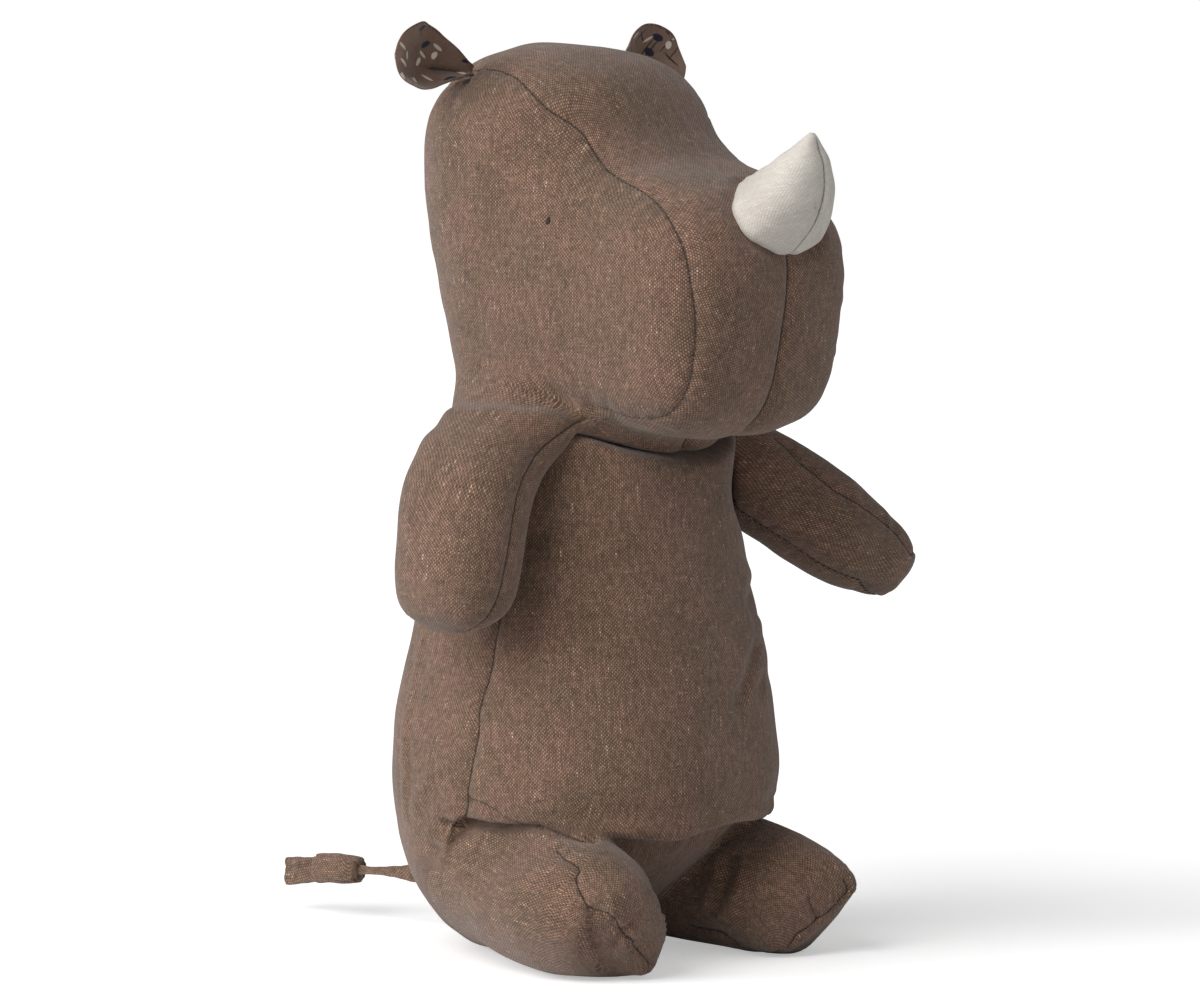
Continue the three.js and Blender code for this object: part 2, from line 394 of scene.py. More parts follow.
@dataclass
class LimbForm(Form):
    """Two panels sewn together along two seams and stuffed.

    A row holds how far along it is, side, forward, height, half width across, and half thickness through. An
    edge row holds how far along it is and the direction in which the first seam lies.
    """

    rows: Table
    edge: Table
    second: float = 180.0  # angle of the second seam from the first, in degrees
    power: float = 2.3
    cap: float = 0.84  # where its rounded end starts
    stations: int = 48
    margin: float = 26.0

    def __post_init__(self) -> None:
        """Works out the centre line and its frames."""
        share = np.linspace(0, 1, self.stations + 1)
        values = along(self.rows, share)
        self.centre = values[:, :3] * (1, -1, 1)
        tangent = unit(np.gradient(self.centre, axis=0))
        towards = along(self.edge, share) * (1, -1, 1)
        across = unit(towards - (towards * tangent).sum(axis=1, keepdims=True) * tangent)
        self.run = run_of(self.centre)
        self.columns = np.c_[self.centre, tangent, across, np.cross(tangent, across), values[:, 3:5]]

    def at(self, run: Array) -> Array:
        """The centre, tangent, edge and panel directions, half width and half thickness at given runs."""
        return np.stack([np.interp(run, self.run, column) for column in self.columns.T], axis=1)

    def place(self, points: Array) -> LimbPlace:
        """Finds each point's own place in the limb.

        Args:
            points: points of the toy's frame.

        Returns:
            Their places.
        """
        run = self.run[nearest_numbers(points, self.centre, 20000)]
        for _ in range(3):
            found = self.at(run)
            run = np.clip(run + ((points - found[:, :3]) * found[:, 3:6]).sum(axis=1), 0, self.run[-1])
        found = self.at(run)
        offset = points - found[:, :3]
        overshoot = (offset * found[:, 3:6]).sum(axis=1)
        past = np.where(run >= self.run[-1], overshoot, np.where(run <= 0, -overshoot, -1e3))
        across, through = ((offset * found[:, i : i + 3]).sum(axis=1) for i in (6, 9))
        return LimbPlace(run, across, through, found[:, 12], found[:, 13], past)

    def field(self, points: Array) -> Array:
        """The field, exact near the limb and a safe distance elsewhere."""
        size = self.columns[:, 12:14].max()
        low, high = self.centre.min(axis=0) - size, self.centre.max(axis=0) + size
        away = np.linalg.norm(np.maximum(0, np.maximum(low - points, points - high)), axis=1)
        value = away + self.margin
        near = away < self.margin
        if near.any():
            p = self.place(points[near])
            section = norm(self.power, p.across / p.half_width, p.through / p.half_thickness) - 1
            value[near] = np.maximum(section * np.minimum(p.half_width, p.half_thickness), p.past)
        return value

    def flat(self, at: LimbPlace, middle: float) -> Array:
        """Where points would lie if the cloth was laid flat, with its end unwrapped from round the tip.

        Args:
            at: where the points are in the limb.
            middle: the angle of the cloth's middle line, in degrees.

        Returns:
            Distances from the middle line, towards falling angles, and from the limb's start.
        """
        turned = np.radians((middle - at.angle() + 180) % 360 - 180)
        c, s = math.cos(math.radians(middle)), math.sin(math.radians(middle))
        start = self.cap * self.run[-1]
        full, length = self.at(np.array([start]))[0, 12:14].mean(), self.run[-1] - start
        beyond = np.maximum(at.run - start, 0) + np.maximum(at.past, 0)
        ball = unit(np.stack([
            (s * at.across - c * at.through) / full,
            beyond / length,
            (c * at.across + s * at.through) / full,
        ], axis=1))
        spread = np.arccos(np.clip(ball[:, 2], -1, 1)) / np.maximum(np.hypot(ball[:, 0], ball[:, 1]), 1e-6)
        round_tip = ball[:, :2] * spread[:, None] * (full, (full + length) / 2)
        straight = np.stack([(at.half_width + at.half_thickness) / 2 * turned, 0 * turned], axis=1)
        return np.where(beyond[:, None] > 0, round_tip, straight) + np.c_[
            0 * turned, np.minimum(at.run, start)]

    def rim(self, found: Array, angle: Array) -> Array:
        """Points round the limb's outline.

        Args:
            found: what `at` says for each point.
            angle: the angle of each from the first seam, in radians.

        Returns:
            The points.
        """
        c, s = np.cos(angle)[:, None], np.sin(angle)[:, None]
        offset = found[:, 6:9] * found[:, 12:13] * c + found[:, 9:12] * found[:, 13:14] * s
        return found[:, :3] + offset / norm(self.power, c, s)

    def line(self, degrees: float, start: float = 0.0, end: float = 1.0, count: int = 24) -> Array:
        """Points along the limb at an angle from its first seam, for the part of it from start to end."""
        found = self.at(np.linspace(start, end, count) * self.run[-1])
        return self.rim(found, np.full(count, math.radians(degrees)))


def steady(side: float, forward: float, height: float) -> Table:
    """Edge rows for a seam that lies in the same direction all along a limb."""
    return ((0.0, side, forward, height), (1.0, side, forward, height))


@dataclass
class TorsoForm(Form):
    """The body: level sections given by height, half width, half depth and forward shift of the centre.

    In front its lower edge turns under sharply above the legs, and at the back it runs on down to the floor.
    """

    neck: Neck
    sections: Table = (
        (0, 22, 16, -24), (5, 32, 27, -19.5), (12, 42, 37, -16.5), (22, 52, 48, -12.5), (35, 60.5, 58, -7.5),
        (50, 66.8, 66, -2.4), (65, 69.4, 69.4, 0), (80, 68.6, 68.6, 0), (100, 65.4, 65.4, 0.6),
        (123, 61.4, 61.4, 1.1), (145, 57, 57, 1.8), (165, 53.4, 52.6, 3.6), (180, 51, 49.3, 5.9),
        (192, 50.3, 46.8, 8.2), (210, 49.5, 45, 9),
    )
    power: float = 2.1
    hem: Table = (
        (-120, 58), (-83, 54), (-64, 52.5), (-45, 51), (-30, 49.3), (-18, 48), (-5, 50), (10, 51.5),
        (27, 50.6), (45, 50), (75, 52), (120, 58),
    )  # height of that lower edge at bearings in degrees
    hem_fall: float = 60.0  # how far it drops away towards the back
    hem_roll: float = 5.0
    widest: float = 58.0
    hip: Pair = (80.0, 112.0)  # bearings between which the edge fades out
    undercut: float = 9.0
    inset: float = 1.0  # how far the seat lies inside the sections

    def section(self, points: Array, height: Array) -> Array:
        """Distance from the level outline at a height."""
        half_width, half_depth, shift = along(self.sections, height).T
        outline = norm(self.power, points[:, 0] / half_width, (-points[:, 1] - shift) / half_depth) - 1
        return outline * np.minimum(half_width, half_depth)

    def parts(self, points: Array) -> tuple[Array, Array]:
        """The belly with its lower edge, and the seat below it."""
        bearing = np.degrees(flat_bearing(points))
        front = 1 - ramp(np.abs(bearing), *self.hip)
        seat = self.section(points, points[:, 2])
        belly = self.section(points, np.maximum(points[:, 2], self.widest))
        hem = along(self.hem, bearing)[:, 0] - self.hem_fall * (1 - front) ** 2
        belly = smooth_maximum(belly * front + seat * (1 - front), hem - points[:, 2], self.hem_roll)
        return belly, seat + self.inset + self.undercut * front

    def below_neck(self, points: Array, value: Array) -> Array:
        """A field closed at the neck seam."""
        return smooth_maximum(value, points[:, 2] - self.neck.level(points) + GAP / 2, self.neck.roll)

    def field(self, points: Array) -> Array:
        """The body without its legs."""
        belly, seat = self.parts(points)
        return self.below_neck(points, np.minimum(belly, seat))


RIGHT_ARM = LimbForm(
    (
        (0, -36, 10, 197, 28, 6), (0.12, -47, 9.5, 195, 26.5, 13), (0.3, -61, 9, 185.5, 25, 17),
        (0.5, -73.5, 12, 171, 24.5, 19), (0.7, -79.5, 14, 152, 24, 19), (0.86, -83.4, 15, 137, 22.4, 17.4),
        (0.96, -85.4, 15.5, 128.8, 17.6, 12.4), (1, -86, 15.5, 124.6, 10, 4),
    ),
    steady(0, 1, 0),
    second=-105.0,
)
LEFT_ARM = LimbForm(
    (
        (0, 38, 6, 188.5, 12, 8), (0.12, 48, 13, 182.5, 14.5, 16), (0.3, 61, 26, 173.2, 17.8, 18.4),
        (0.5, 75, 38, 161.2, 18.3, 18.8), (0.7, 89, 45, 150.6, 17.5, 18),
        (0.86, 101.5, 49.3, 142.8, 15.6, 15.4), (0.96, 111.6, 52, 136.7, 12.2, 10),
        (1, 116.2, 53.4, 134, 7.6, 2),
    ),
    ((0, -0.1, 0.9, 0.4), (0.8, -0.1, 0.85, 0.5), (1, -0.2, 0.3, 0.95)),
    second=90.0,
)
RIGHT_LEG = LimbForm(
    (
        (0, -26, -26, 34, 12, 12), (0.1, -30, -19, 33, 19, 19), (0.3, -37.6, -1, 31, 24, 24.2),
        (0.6, -45, 25, 27, 25, 25.4), (0.82, -48.5, 47, 24.6, 25.8, 24.2), (0.94, -47.5, 62.5, 19, 22.5, 16),
        (1, -49.5, 68.5, 15, 20, 2),
    ),
    steady(-0.7, 0.22, 0.66),
)
LEFT_LEG = LimbForm(
    (
        (0, 26, -26, 33, 12, 12), (0.1, 30, -19, 32, 19, 19), (0.3, 38, 0, 28.4, 24, 23.6),
        (0.6, 45, 28, 24, 24.6, 23.6), (0.82, 47, 51, 21.2, 23.8, 22), (0.94, 47, 67, 17, 22, 15.4),
        (1, 46.5, 74, 13.2, 18.5, 2),
    ),
    steady(0.62, 0.3, 0.72),
)
HORN = LimbForm(
    (
        (0, 0, 70, 257, 20.8, 18.6), (0.22, 0, 82.2, 265.4, 20.6, 18), (0.42, 0, 92.4, 271.8, 18.6, 16.4),
        (0.62, 0, 101, 280, 15, 13.8), (0.82, 0, 106.3, 289.8, 9.6, 8.6), (0.95, 0, 108.5, 297, 3.9, 3.4),
        (1, 0, 109.1, 299.8, 1, 1),
    ),
    steady(1, 0, 0),
    power=2.15,
)
TAIL_STRAP = LimbForm(
    (
        (0, 0, -55, 21.5, 4.1, 1.2), (0.36, 0, -78, 21, 4, 1.2), (0.52, 0, -88, 20.6, 3.5, 1.3),
        (0.63, 0, -95, 20.3, 2.5, 1.4), (0.72, 0, -101, 20, 1.8, 1.5), (0.87, 0, -111, 19.4, 1.5, 1.5),
        (1, 0, -119, 18.9, 2.1, 1.5),
    ),
    steady(0.05, 0, 1),
    power=3.2,
)
TAIL_KNOT = LimbForm(
    (
        (0, 0, -116.4, 18.9, 3.6, 2.6), (0.1, 0, -118.2, 18.9, 4.9, 4), (0.4, 0, -125, 18.7, 5.4, 4.8),
        (0.75, 0, -134, 18.3, 5.5, 4.7), (0.93, 0, -138.6, 17.8, 5.4, 4.2), (1, 0, -139.6, 17.7, 4.6, 3),
    ),
    steady(0.1, 0, 1),
    power=3.4,
)
TAIL_TIP = LimbForm(
    (
        (0, 0, -134, 17.6, 3.6, 1.6), (0.3, 0, -141, 17, 4.6, 1.7), (0.7, 0, -149, 15.9, 5.1, 1.6),
        (0.97, 0, -156.2, 14.9, 5.4, 1.5), (1, 0, -157, 14.8, 5.2, 1.1),
    ),
    steady(0.12, -0.16, 1),
    power=4.0,
)


def join_limbs(
    value: Array, limbs: tuple[LimbForm, ...], points: Array, radius: Array
) -> tuple[Array, list[Array]]:
    """Joins limbs to a form with a fillet.

    Args:
        value: the form's field at the points.
        limbs: the limbs.
        points: where the fields are wanted.
        radius: size of the fillet at each point.

    Returns:
        The joined field, and each limb's share in it.
    """
    shares = []
    for limb in limbs:
        value, share = smooth_minimum(value, limb.field(points), radius)
        shares.append(share)
    return value, shares


@dataclass
class HeadAndArmsForm(Form):
    """The head, closed at the neck seam, with the arms running out of its lower edge."""

    head: HeadForm
    torso: TorsoForm
    neck: Neck
    arms: tuple[LimbForm, ...] = (RIGHT_ARM, LEFT_ARM)
    shoulder: float = 14.0
    armpit: float = 3.0
    armpit_forward: Pair = (14.0, 34.0)
    rim: float = 2.0

    def shares(self, points: Array) -> tuple[Array, list[Array]]:
        """The field before the body is cut away, and each arm's share in it."""
        below = self.neck.level(points) + GAP / 2 - points[:, 2]
        value = smooth_maximum(self.head.field(points), below, self.neck.roll)
        under = ramp(-points[:, 1], *self.armpit_forward)
        radius = self.shoulder + (self.armpit - self.shoulder) * under
        return join_limbs(value, self.arms, points, radius)

    def field(self, points: Array) -> Array:
        """The whole skin, clear of the body below it."""
        return smooth_maximum(self.shares(points)[0], GAP - self.torso.field(points), self.rim)


@dataclass
class BodyAndLegsForm(Form):
    """The body with its legs, which run softly out of its seat under the sharp lower edge of the belly."""

    torso: TorsoForm
    legs: tuple[LimbForm, ...] = (RIGHT_LEG, LEFT_LEG)
    hip: float = 22.0
    crotch: float = 4.0
    crotch_side: Pair = (28.0, 50.0)
    crotch_forward: Pair = (12.0, -16.0)
    crease: float = 2.5
    seat_roll: float = 4.0

    def shares(self, points: Array) -> tuple[Array, list[Array]]:
        """The field before it is set on the floor, and each leg's share in it."""
        belly, value = self.torso.parts(points)
        aside, ahead = np.abs(points[:, 0]), -points[:, 1]
        soft = np.maximum(ramp(aside, *self.crotch_side), ramp(ahead, *self.crotch_forward))
        radius = self.crotch + (self.hip - self.crotch) * soft
        value, shares = join_limbs(value, self.legs, points, radius)
        value, bare = smooth_minimum(value, belly, self.crease)
        return self.torso.below_neck(points, value), [share * (1 - bare) for share in shares]

    def field(self, points: Array) -> Array:
        """The whole skin, flat where it sits on the floor."""
        return smooth_maximum(self.shares(points)[0], -points[:, 2], self.seat_roll)


# ------------------------------------------------------------------ meshes


def surface_net(form: Form, low: Array, high: Array, cell: float) -> tuple[Array, Array]:
    """Covers a form with a net of nearly square faces.

    Args:
        form: the form.
        low: lowest corner of a box round it.
        high: highest corner of that box.
        cell: size of the faces.

    Returns:
        Points, and the four point numbers of each face, which faces outwards.
    """
    count = np.ceil((high - low) / cell).astype(int) + 1
    axes = [low[a] + cell * np.arange(count[a]) for a in range(3)]
    grid = np.stack(np.meshgrid(*axes, indexing="ij"), axis=-1)
    value = form.field(grid.reshape(-1, 3)).reshape(count)
    total = np.zeros((*count, 3))
    hits = np.zeros(count)
    faces = []
    for axis in range(3):
        near = value[tuple(slice(0, -1) if a == axis else slice(None) for a in range(3))]
        far = value[tuple(slice(1, None) if a == axis else slice(None) for a in range(3))]
        crossed = np.argwhere((near < 0) != (far < 0))
        at = tuple(crossed.T)
        share = near[at] / (near[at] - far[at])
        point = grid[at] + (share * cell)[:, None] * np.eye(3)[axis]
        second, third = (axis + 1) % 3, (axis + 2) % 3
        corners = []
        for back_second, back_third in ((1, 1), (0, 1), (0, 0), (1, 0)):
            cell_at = crossed.copy()
            cell_at[:, second] -= back_second
            cell_at[:, third] -= back_third
            np.add.at(total, tuple(cell_at.T), point)
            np.add.at(hits, tuple(cell_at.T), 1)
            corners.append(np.ravel_multi_index(tuple(cell_at.T), tuple(count)))
        ring = np.stack(corners, axis=1)
        outward = near[at] < 0
        faces.append(np.where(outward[:, None], ring, ring[:, ::-1]))
    used = hits.ravel() > 0
    number = np.cumsum(used) - 1
    points = total.reshape(-1, 3)[used] / hits.ravel()[used][:, None]
    return points, number[np.concatenate(faces)]


def edges_of(faces: Array) -> Array:
    """Each edge of a net of four-sided faces, once."""
    pairs = np.concatenate([faces[:, [i, (i + 1) % 4]] for i in range(4)])
    return np.unique(np.sort(pairs, axis=1), axis=0)


def neighbour_mean(points: Array, edges: Array) -> Array:
    """The mean of each point's neighbours."""
    total = np.zeros_like(points)
    count = np.zeros(len(points))
    for a, b in (edges.T, edges.T[::-1]):
        for axis in range(points.shape[1]):
            total[:, axis] += np.bincount(a, points[b, axis], len(points))
        count += np.bincount(a, minlength=len(points))
    return total / np.maximum(count, 1)[:, None]


def relax(form: Form, points: Array, faces: Array, rounds: int) -> Array:
    """Evens out a net without leaving the form's surface.

    Args:
        form: the form that the net covers.
        points: the net's points.
        faces: its faces.
        rounds: how many times to smooth.

    Returns:
        The moved points.
    """
    edges = edges_of(faces)
    for _ in range(rounds):
        points = points + 0.6 * (neighbour_mean(points, edges) - points)
        points = form.settle(points, 1)
    return form.settle(points, 2)


def point_normals(points: Array, faces: Array) -> Array:
    """Outward directions at the points of a net of four-sided faces."""
    corner = points[faces]
    facing = np.cross(corner[:, 2] - corner[:, 0], corner[:, 3] - corner[:, 1])
    total = np.zeros_like(points)
    for i in range(4):
        for axis in range(3):
            total[:, axis] += np.bincount(faces[:, i], facing[:, axis], len(points))
    return unit(total)


def make_mesh(name: str, points: Array, faces: list | Array) -> bpy.types.Mesh:
    """A smooth-shaded mesh in the row frame.

    Args:
        name: the mesh's name.
        points: points of the toy's frame.
        faces: point numbers of each face.

    Returns:
        The mesh.
    """
    mesh = bpy.data.meshes.new(name)
    mesh.from_pydata(to_row(points).tolist(), [], faces.tolist() if isinstance(faces, np.ndarray) else faces)
    mesh.polygons.foreach_set("use_smooth", np.ones(len(mesh.polygons), bool))
    mesh.update()
    return mesh


def make_object(name: str, data: bpy.types.ID) -> Object:
    """Puts a mesh, a light or a camera into the scene as an object at the origin."""
    made = bpy.data.objects.new(name, data)
    bpy.context.scene.collection.objects.link(made)
    return made


def evaluated_mesh(thing: Object) -> bpy.types.Mesh:
    """A plain mesh of an object with its modifiers applied."""
    graph = bpy.context.evaluated_depsgraph_get()
    return bpy.data.meshes.new_from_object(thing.evaluated_get(graph), depsgraph=graph)


def subdivide(points: Array, faces: Array) -> tuple[Array, Array]:
    """Splits each face of a net in four and rounds it.

    Args:
        points: points of the toy's frame.
        faces: four-sided faces.

    Returns:
        The finer net's points and faces.
    """
    coarse = make_object("coarse", make_mesh("coarse", points, faces))
    modifier = coarse.modifiers.new("finer", "SUBSURF")
    modifier.levels = modifier.render_levels = 1
    mesh = evaluated_mesh(coarse)
    places = np.empty(len(mesh.vertices) * 3, np.float32)
    mesh.vertices.foreach_get("co", places)
    corners = np.empty(len(mesh.loops), np.int32)
    mesh.loops.foreach_get("vertex_index", corners)
    bpy.data.objects.remove(coarse)
    bpy.data.meshes.remove(mesh)
    return (places.reshape(-1, 3).astype(float) - ORIGIN) / MILLIMETRE, corners.reshape(-1, 4)


def dress(
    thing: Object, corner_places: Array, marks: dict[str, Array], finishes: list[Material]
) -> None:
    """Gives a piece its weave map, its marks and its materials.

    Args:
        thing: the piece.
        corner_places: where each face corner lies in its cloth panel, in millimetres along the threads.
        marks: values at each point, by attribute name.
        finishes: the materials for its slots.
    """
    layer = thing.data.uv_layers.new(name=WEAVE_MAP)
    layer.uv.foreach_set("vector", corner_places.astype(np.float32).ravel())
    for name, values in marks.items():
        thing.data.attributes.new(name, "FLOAT", "POINT").data.foreach_set("value", values.astype(np.float32))
    for finish in finishes:
        thing.data.materials.append(finish)


# ------------------------------------------------------------------ seams and folds


@dataclass(frozen=True)
class Seam:
    """A sewn line on a skin, through points of the toy's frame. The lap creases are made as seams too, and
    their dark line is painted shade.
    """

    points: Array
    depth: float = 0.8  # of the narrow groove
    width: float = 1.2
    roll: float = 0.9  # how far the stuffed cloth on both sides turns in
    roll_width: float = 4.5
    pucker: float = 0.3
    pucker_pitch: float = 8.0
    dark: tuple[float, ...] = (1.0,)  # how dark its line looks, from its start to its end; on the lap creases this darkness is painted shade
    seed: int = 1


@dataclass(frozen=True)
class Fold:
    """A soft valley in the cloth, through points of the toy's frame, with a low ridge on both sides."""

    points: Array
    depth: float = 1.5
    width: float = 3.0
    ridge: float = 0.35


def folds_of(*rows: tuple) -> list[Fold]:
    """Folds from rows of their points, depth, width and, where it isn't the usual one, ridge."""
    return [Fold(spots(points), *sizes) for points, *sizes in rows]


@dataclass
class PathPlace:
    """Where some points of a skin are along a line on it."""

    chosen: Array  # numbers of the points near the line
    offset: Array  # from the line to each point, square to the line
    signed: Array  # its length, with the sign of the side
    run: Array  # distance along the line
    inside: Array  # 1 along the line, falling to 0 past its ends


def measure(points: Array, normals: Array, path: Array, reach: float) -> PathPlace:
    """Finds the points near a line and where they lie along it.

    Args:
        points: the skin's points.
        normals: its outward directions.
        path: evenly spaced points of the line.
        reach: how far from the line points are wanted.

    Returns:
        Their places.
    """
    low, high = path.min(axis=0) - reach, path.max(axis=0) + reach
    chosen = np.flatnonzero(((points > low) & (points < high)).all(axis=1))
    nearest = nearest_numbers(points[chosen], path, 8000)
    tangents = unit(np.gradient(path, axis=0))
    offset = points[chosen] - path[nearest]
    lengthwise = (offset * tangents[nearest]).sum(axis=1)
    at_end = (nearest == 0) & (lengthwise < 0) | (nearest == len(path) - 1) & (lengthwise > 0)
    past = np.where(at_end, np.abs(lengthwise), 0)
    offset = offset - (lengthwise * ~at_end)[:, None] * tangents[nearest]
    distance = np.linalg.norm(offset, axis=1)
    close = distance < reach
    side = (np.cross(normals[chosen], tangents[nearest]) * offset).sum(axis=1)
    run = nearest * float(np.linalg.norm(path[1] - path[0]))
    signed, run = np.sign(side) * distance, run + lengthwise * ~at_end
    return PathPlace(chosen[close], offset[close], signed[close], run[close], hump(past[close], 2.0))


@dataclass
class SewnSkin:
    """A closed net of cloth.

    `rest` is its designed shape, from which its panels are measured, and `shaped` is what stuffing, seams and
    folds make of it.
    """

    SNAP = 0.42  # how near a seam's line a point is moved on to it, in cells
    SEAM_REACH = 2.6  # how far a seam is felt, in widths of its roll
    LOPSIDED = 0.6  # how much the two sides of a seam differ
    FOLD_REACH = 4  # how far a fold is felt, in its widths
    FOLD_TAPER = 2.2  # how far from its ends it runs out, in its widths

    form: Form
    rest: Array
    shaped: Array
    faces: Array
    cell: float
    signed: Array = field(init=False)
    darkness: Array = field(init=False)

    def __post_init__(self) -> None:
        """Starts with no seam anywhere near."""
        self.signed = np.full(len(self.rest), FAR)
        self.darkness = np.zeros(len(self.rest))

    def snap(self, path: Array) -> None:
        """Moves the points nearest to a line on to it, so that a groove along it is clean."""
        found = measure(self.rest, point_normals(self.rest, self.faces), path, self.SNAP * self.cell)
        self.rest[found.chosen] -= found.offset
        self.shaped[found.chosen] -= found.offset

    def sew(self, seams: list[Seam]) -> list[Array]:
        """Draws the cloth in along seams.

        Args:
            seams: the seams.

        Returns:
            Each seam's line on the rest shape.
        """
        paths = [self.form.settle(curve_through(seam.points, SAMPLE), 4) for seam in seams]
        for path in paths:
            self.snap(path)
        normals = point_normals(self.rest, self.faces)
        for seam, path in zip(seams, paths, strict=True):
            found = measure(self.rest, normals, path, self.SEAM_REACH * seam.roll_width)
            size = np.abs(found.signed)
            wave = drift(found.run[:, None], seam.pucker_pitch, seam.seed)
            lopsided = drift(found.run[:, None], seam.pucker_pitch, seam.seed + 50) * np.sign(found.signed)
            pucker = seam.pucker * (wave + self.LOPSIDED * lopsided)
            pucker = pucker * np.exp(-size / seam.roll_width) * (1 - hump(size, 1))
            inward = (
                seam.depth * hump(size, seam.width) + seam.roll * hump(size, seam.roll_width) + pucker
            ) * found.inside
            self.shaped[found.chosen] -= normals[found.chosen] * inward[:, None]
            closer = size < np.abs(self.signed[found.chosen])
            at = found.chosen[closer]
            share = found.run / max(found.run.max(initial=0.0), 1.0)
            dark = np.interp(share, np.linspace(0, 1, len(seam.dark)), seam.dark) * found.inside
            self.signed[at] = found.signed[closer]
            # how dark the line looks: a seam's thread line, or painted shade along a lap crease
            self.darkness[at] = (dark * (1 - ramp(size, *DARK_REACH)))[closer]
        return paths

    def dimple(self, centre: Array, depth: float, width: float) -> None:
        """Draws the cloth in at a point."""
        normals = point_normals(self.rest, self.faces)
        away = np.linalg.norm(self.rest - self.form.settle(centre[None], 4), axis=1)
        self.shaped -= normals * (depth * hump(away, width))[:, None]

    def carry(self, line: Array) -> Array:
        """Moves points of a line on the rest shape to where the shaped cloth has taken them."""
        nearest = nearest_numbers(line, self.rest, 40)
        return line + self.shaped[nearest] - self.rest[nearest]

    def fold(self, folds: list[Fold]) -> None:
        """Presses soft valleys into the cloth."""
        normals = point_normals(self.rest, self.faces)
        for crease in folds:
            path = self.form.settle(curve_through(crease.points, 1.2), 4)
            found = measure(self.rest, normals, path, self.FOLD_REACH * crease.width)
            ends = np.minimum(found.run, found.run.max() - found.run) if len(found.run) else found.run
            taper = ramp(ends, -1.0, self.FOLD_TAPER * crease.width) * found.inside
            size = np.abs(found.signed) / crease.width
            profile = hump(size, 1) - crease.ridge * np.exp(-((size - 2) ** 2) * 1.4)
            self.shaped[found.chosen] -= normals[found.chosen] * (crease.depth * profile * taper)[:, None]

    def ripple(self, height: float, wavelength: float, seed: int) -> None:
        """Adds the slight unevenness of hand stuffing."""
        normals = point_normals(self.rest, self.faces)
        self.shaped += normals * (height * drift(self.rest, wavelength, seed))[:, None]

    def finish(
        self, name: str, panel_of: Callable[[Array], Array], places: Callable[[Array, int], Array],
        material: Material,
    ) -> Object:
        """Makes the piece, with its weave map and seam marks.

        Args:
            name: the piece's name.
            panel_of: the number of the cloth panel at each point.
            places: where points lie in a panel, given its number.
            material: its finish.

        Returns:
            The piece.
        """
        panels = panel_of(self.rest[self.faces].mean(axis=1))
        corner_places = np.zeros((len(self.faces), 4, 2))
        for panel in np.unique(panels):
            inside = panels == panel
            corners = self.rest[self.faces[inside]].reshape(-1, 3)
            corner_places[inside] = places(corners, panel).reshape(-1, 4, 2)
        made = make_object(name, make_mesh(name, self.shaped, self.faces))
        dress(made, corner_places, {SEAM_MARK: self.signed, SEAM_DARK_AND_CREASE_SHADE_MARK: self.darkness}, [material])
        return made


def stuffed_skin(form: Form, low: Array, high: Array, cell: float) -> SewnSkin:
    """Covers a form with cloth.

    Args:
        form: the form.
        low: lowest corner of a box round it.
        high: highest corner of that box.
        cell: size of the finished faces.

    Returns:
        The skin, before it is sewn.
    """
    points, faces = surface_net(form, low, high, 2 * cell)
    points = relax(form, points, faces, 8)
    points, faces = subdivide(points, faces)
    points = form.settle(points, 1)
    return SewnSkin(form, points, points.copy(), faces, cell)


# ------------------------------------------------------------------ finishes


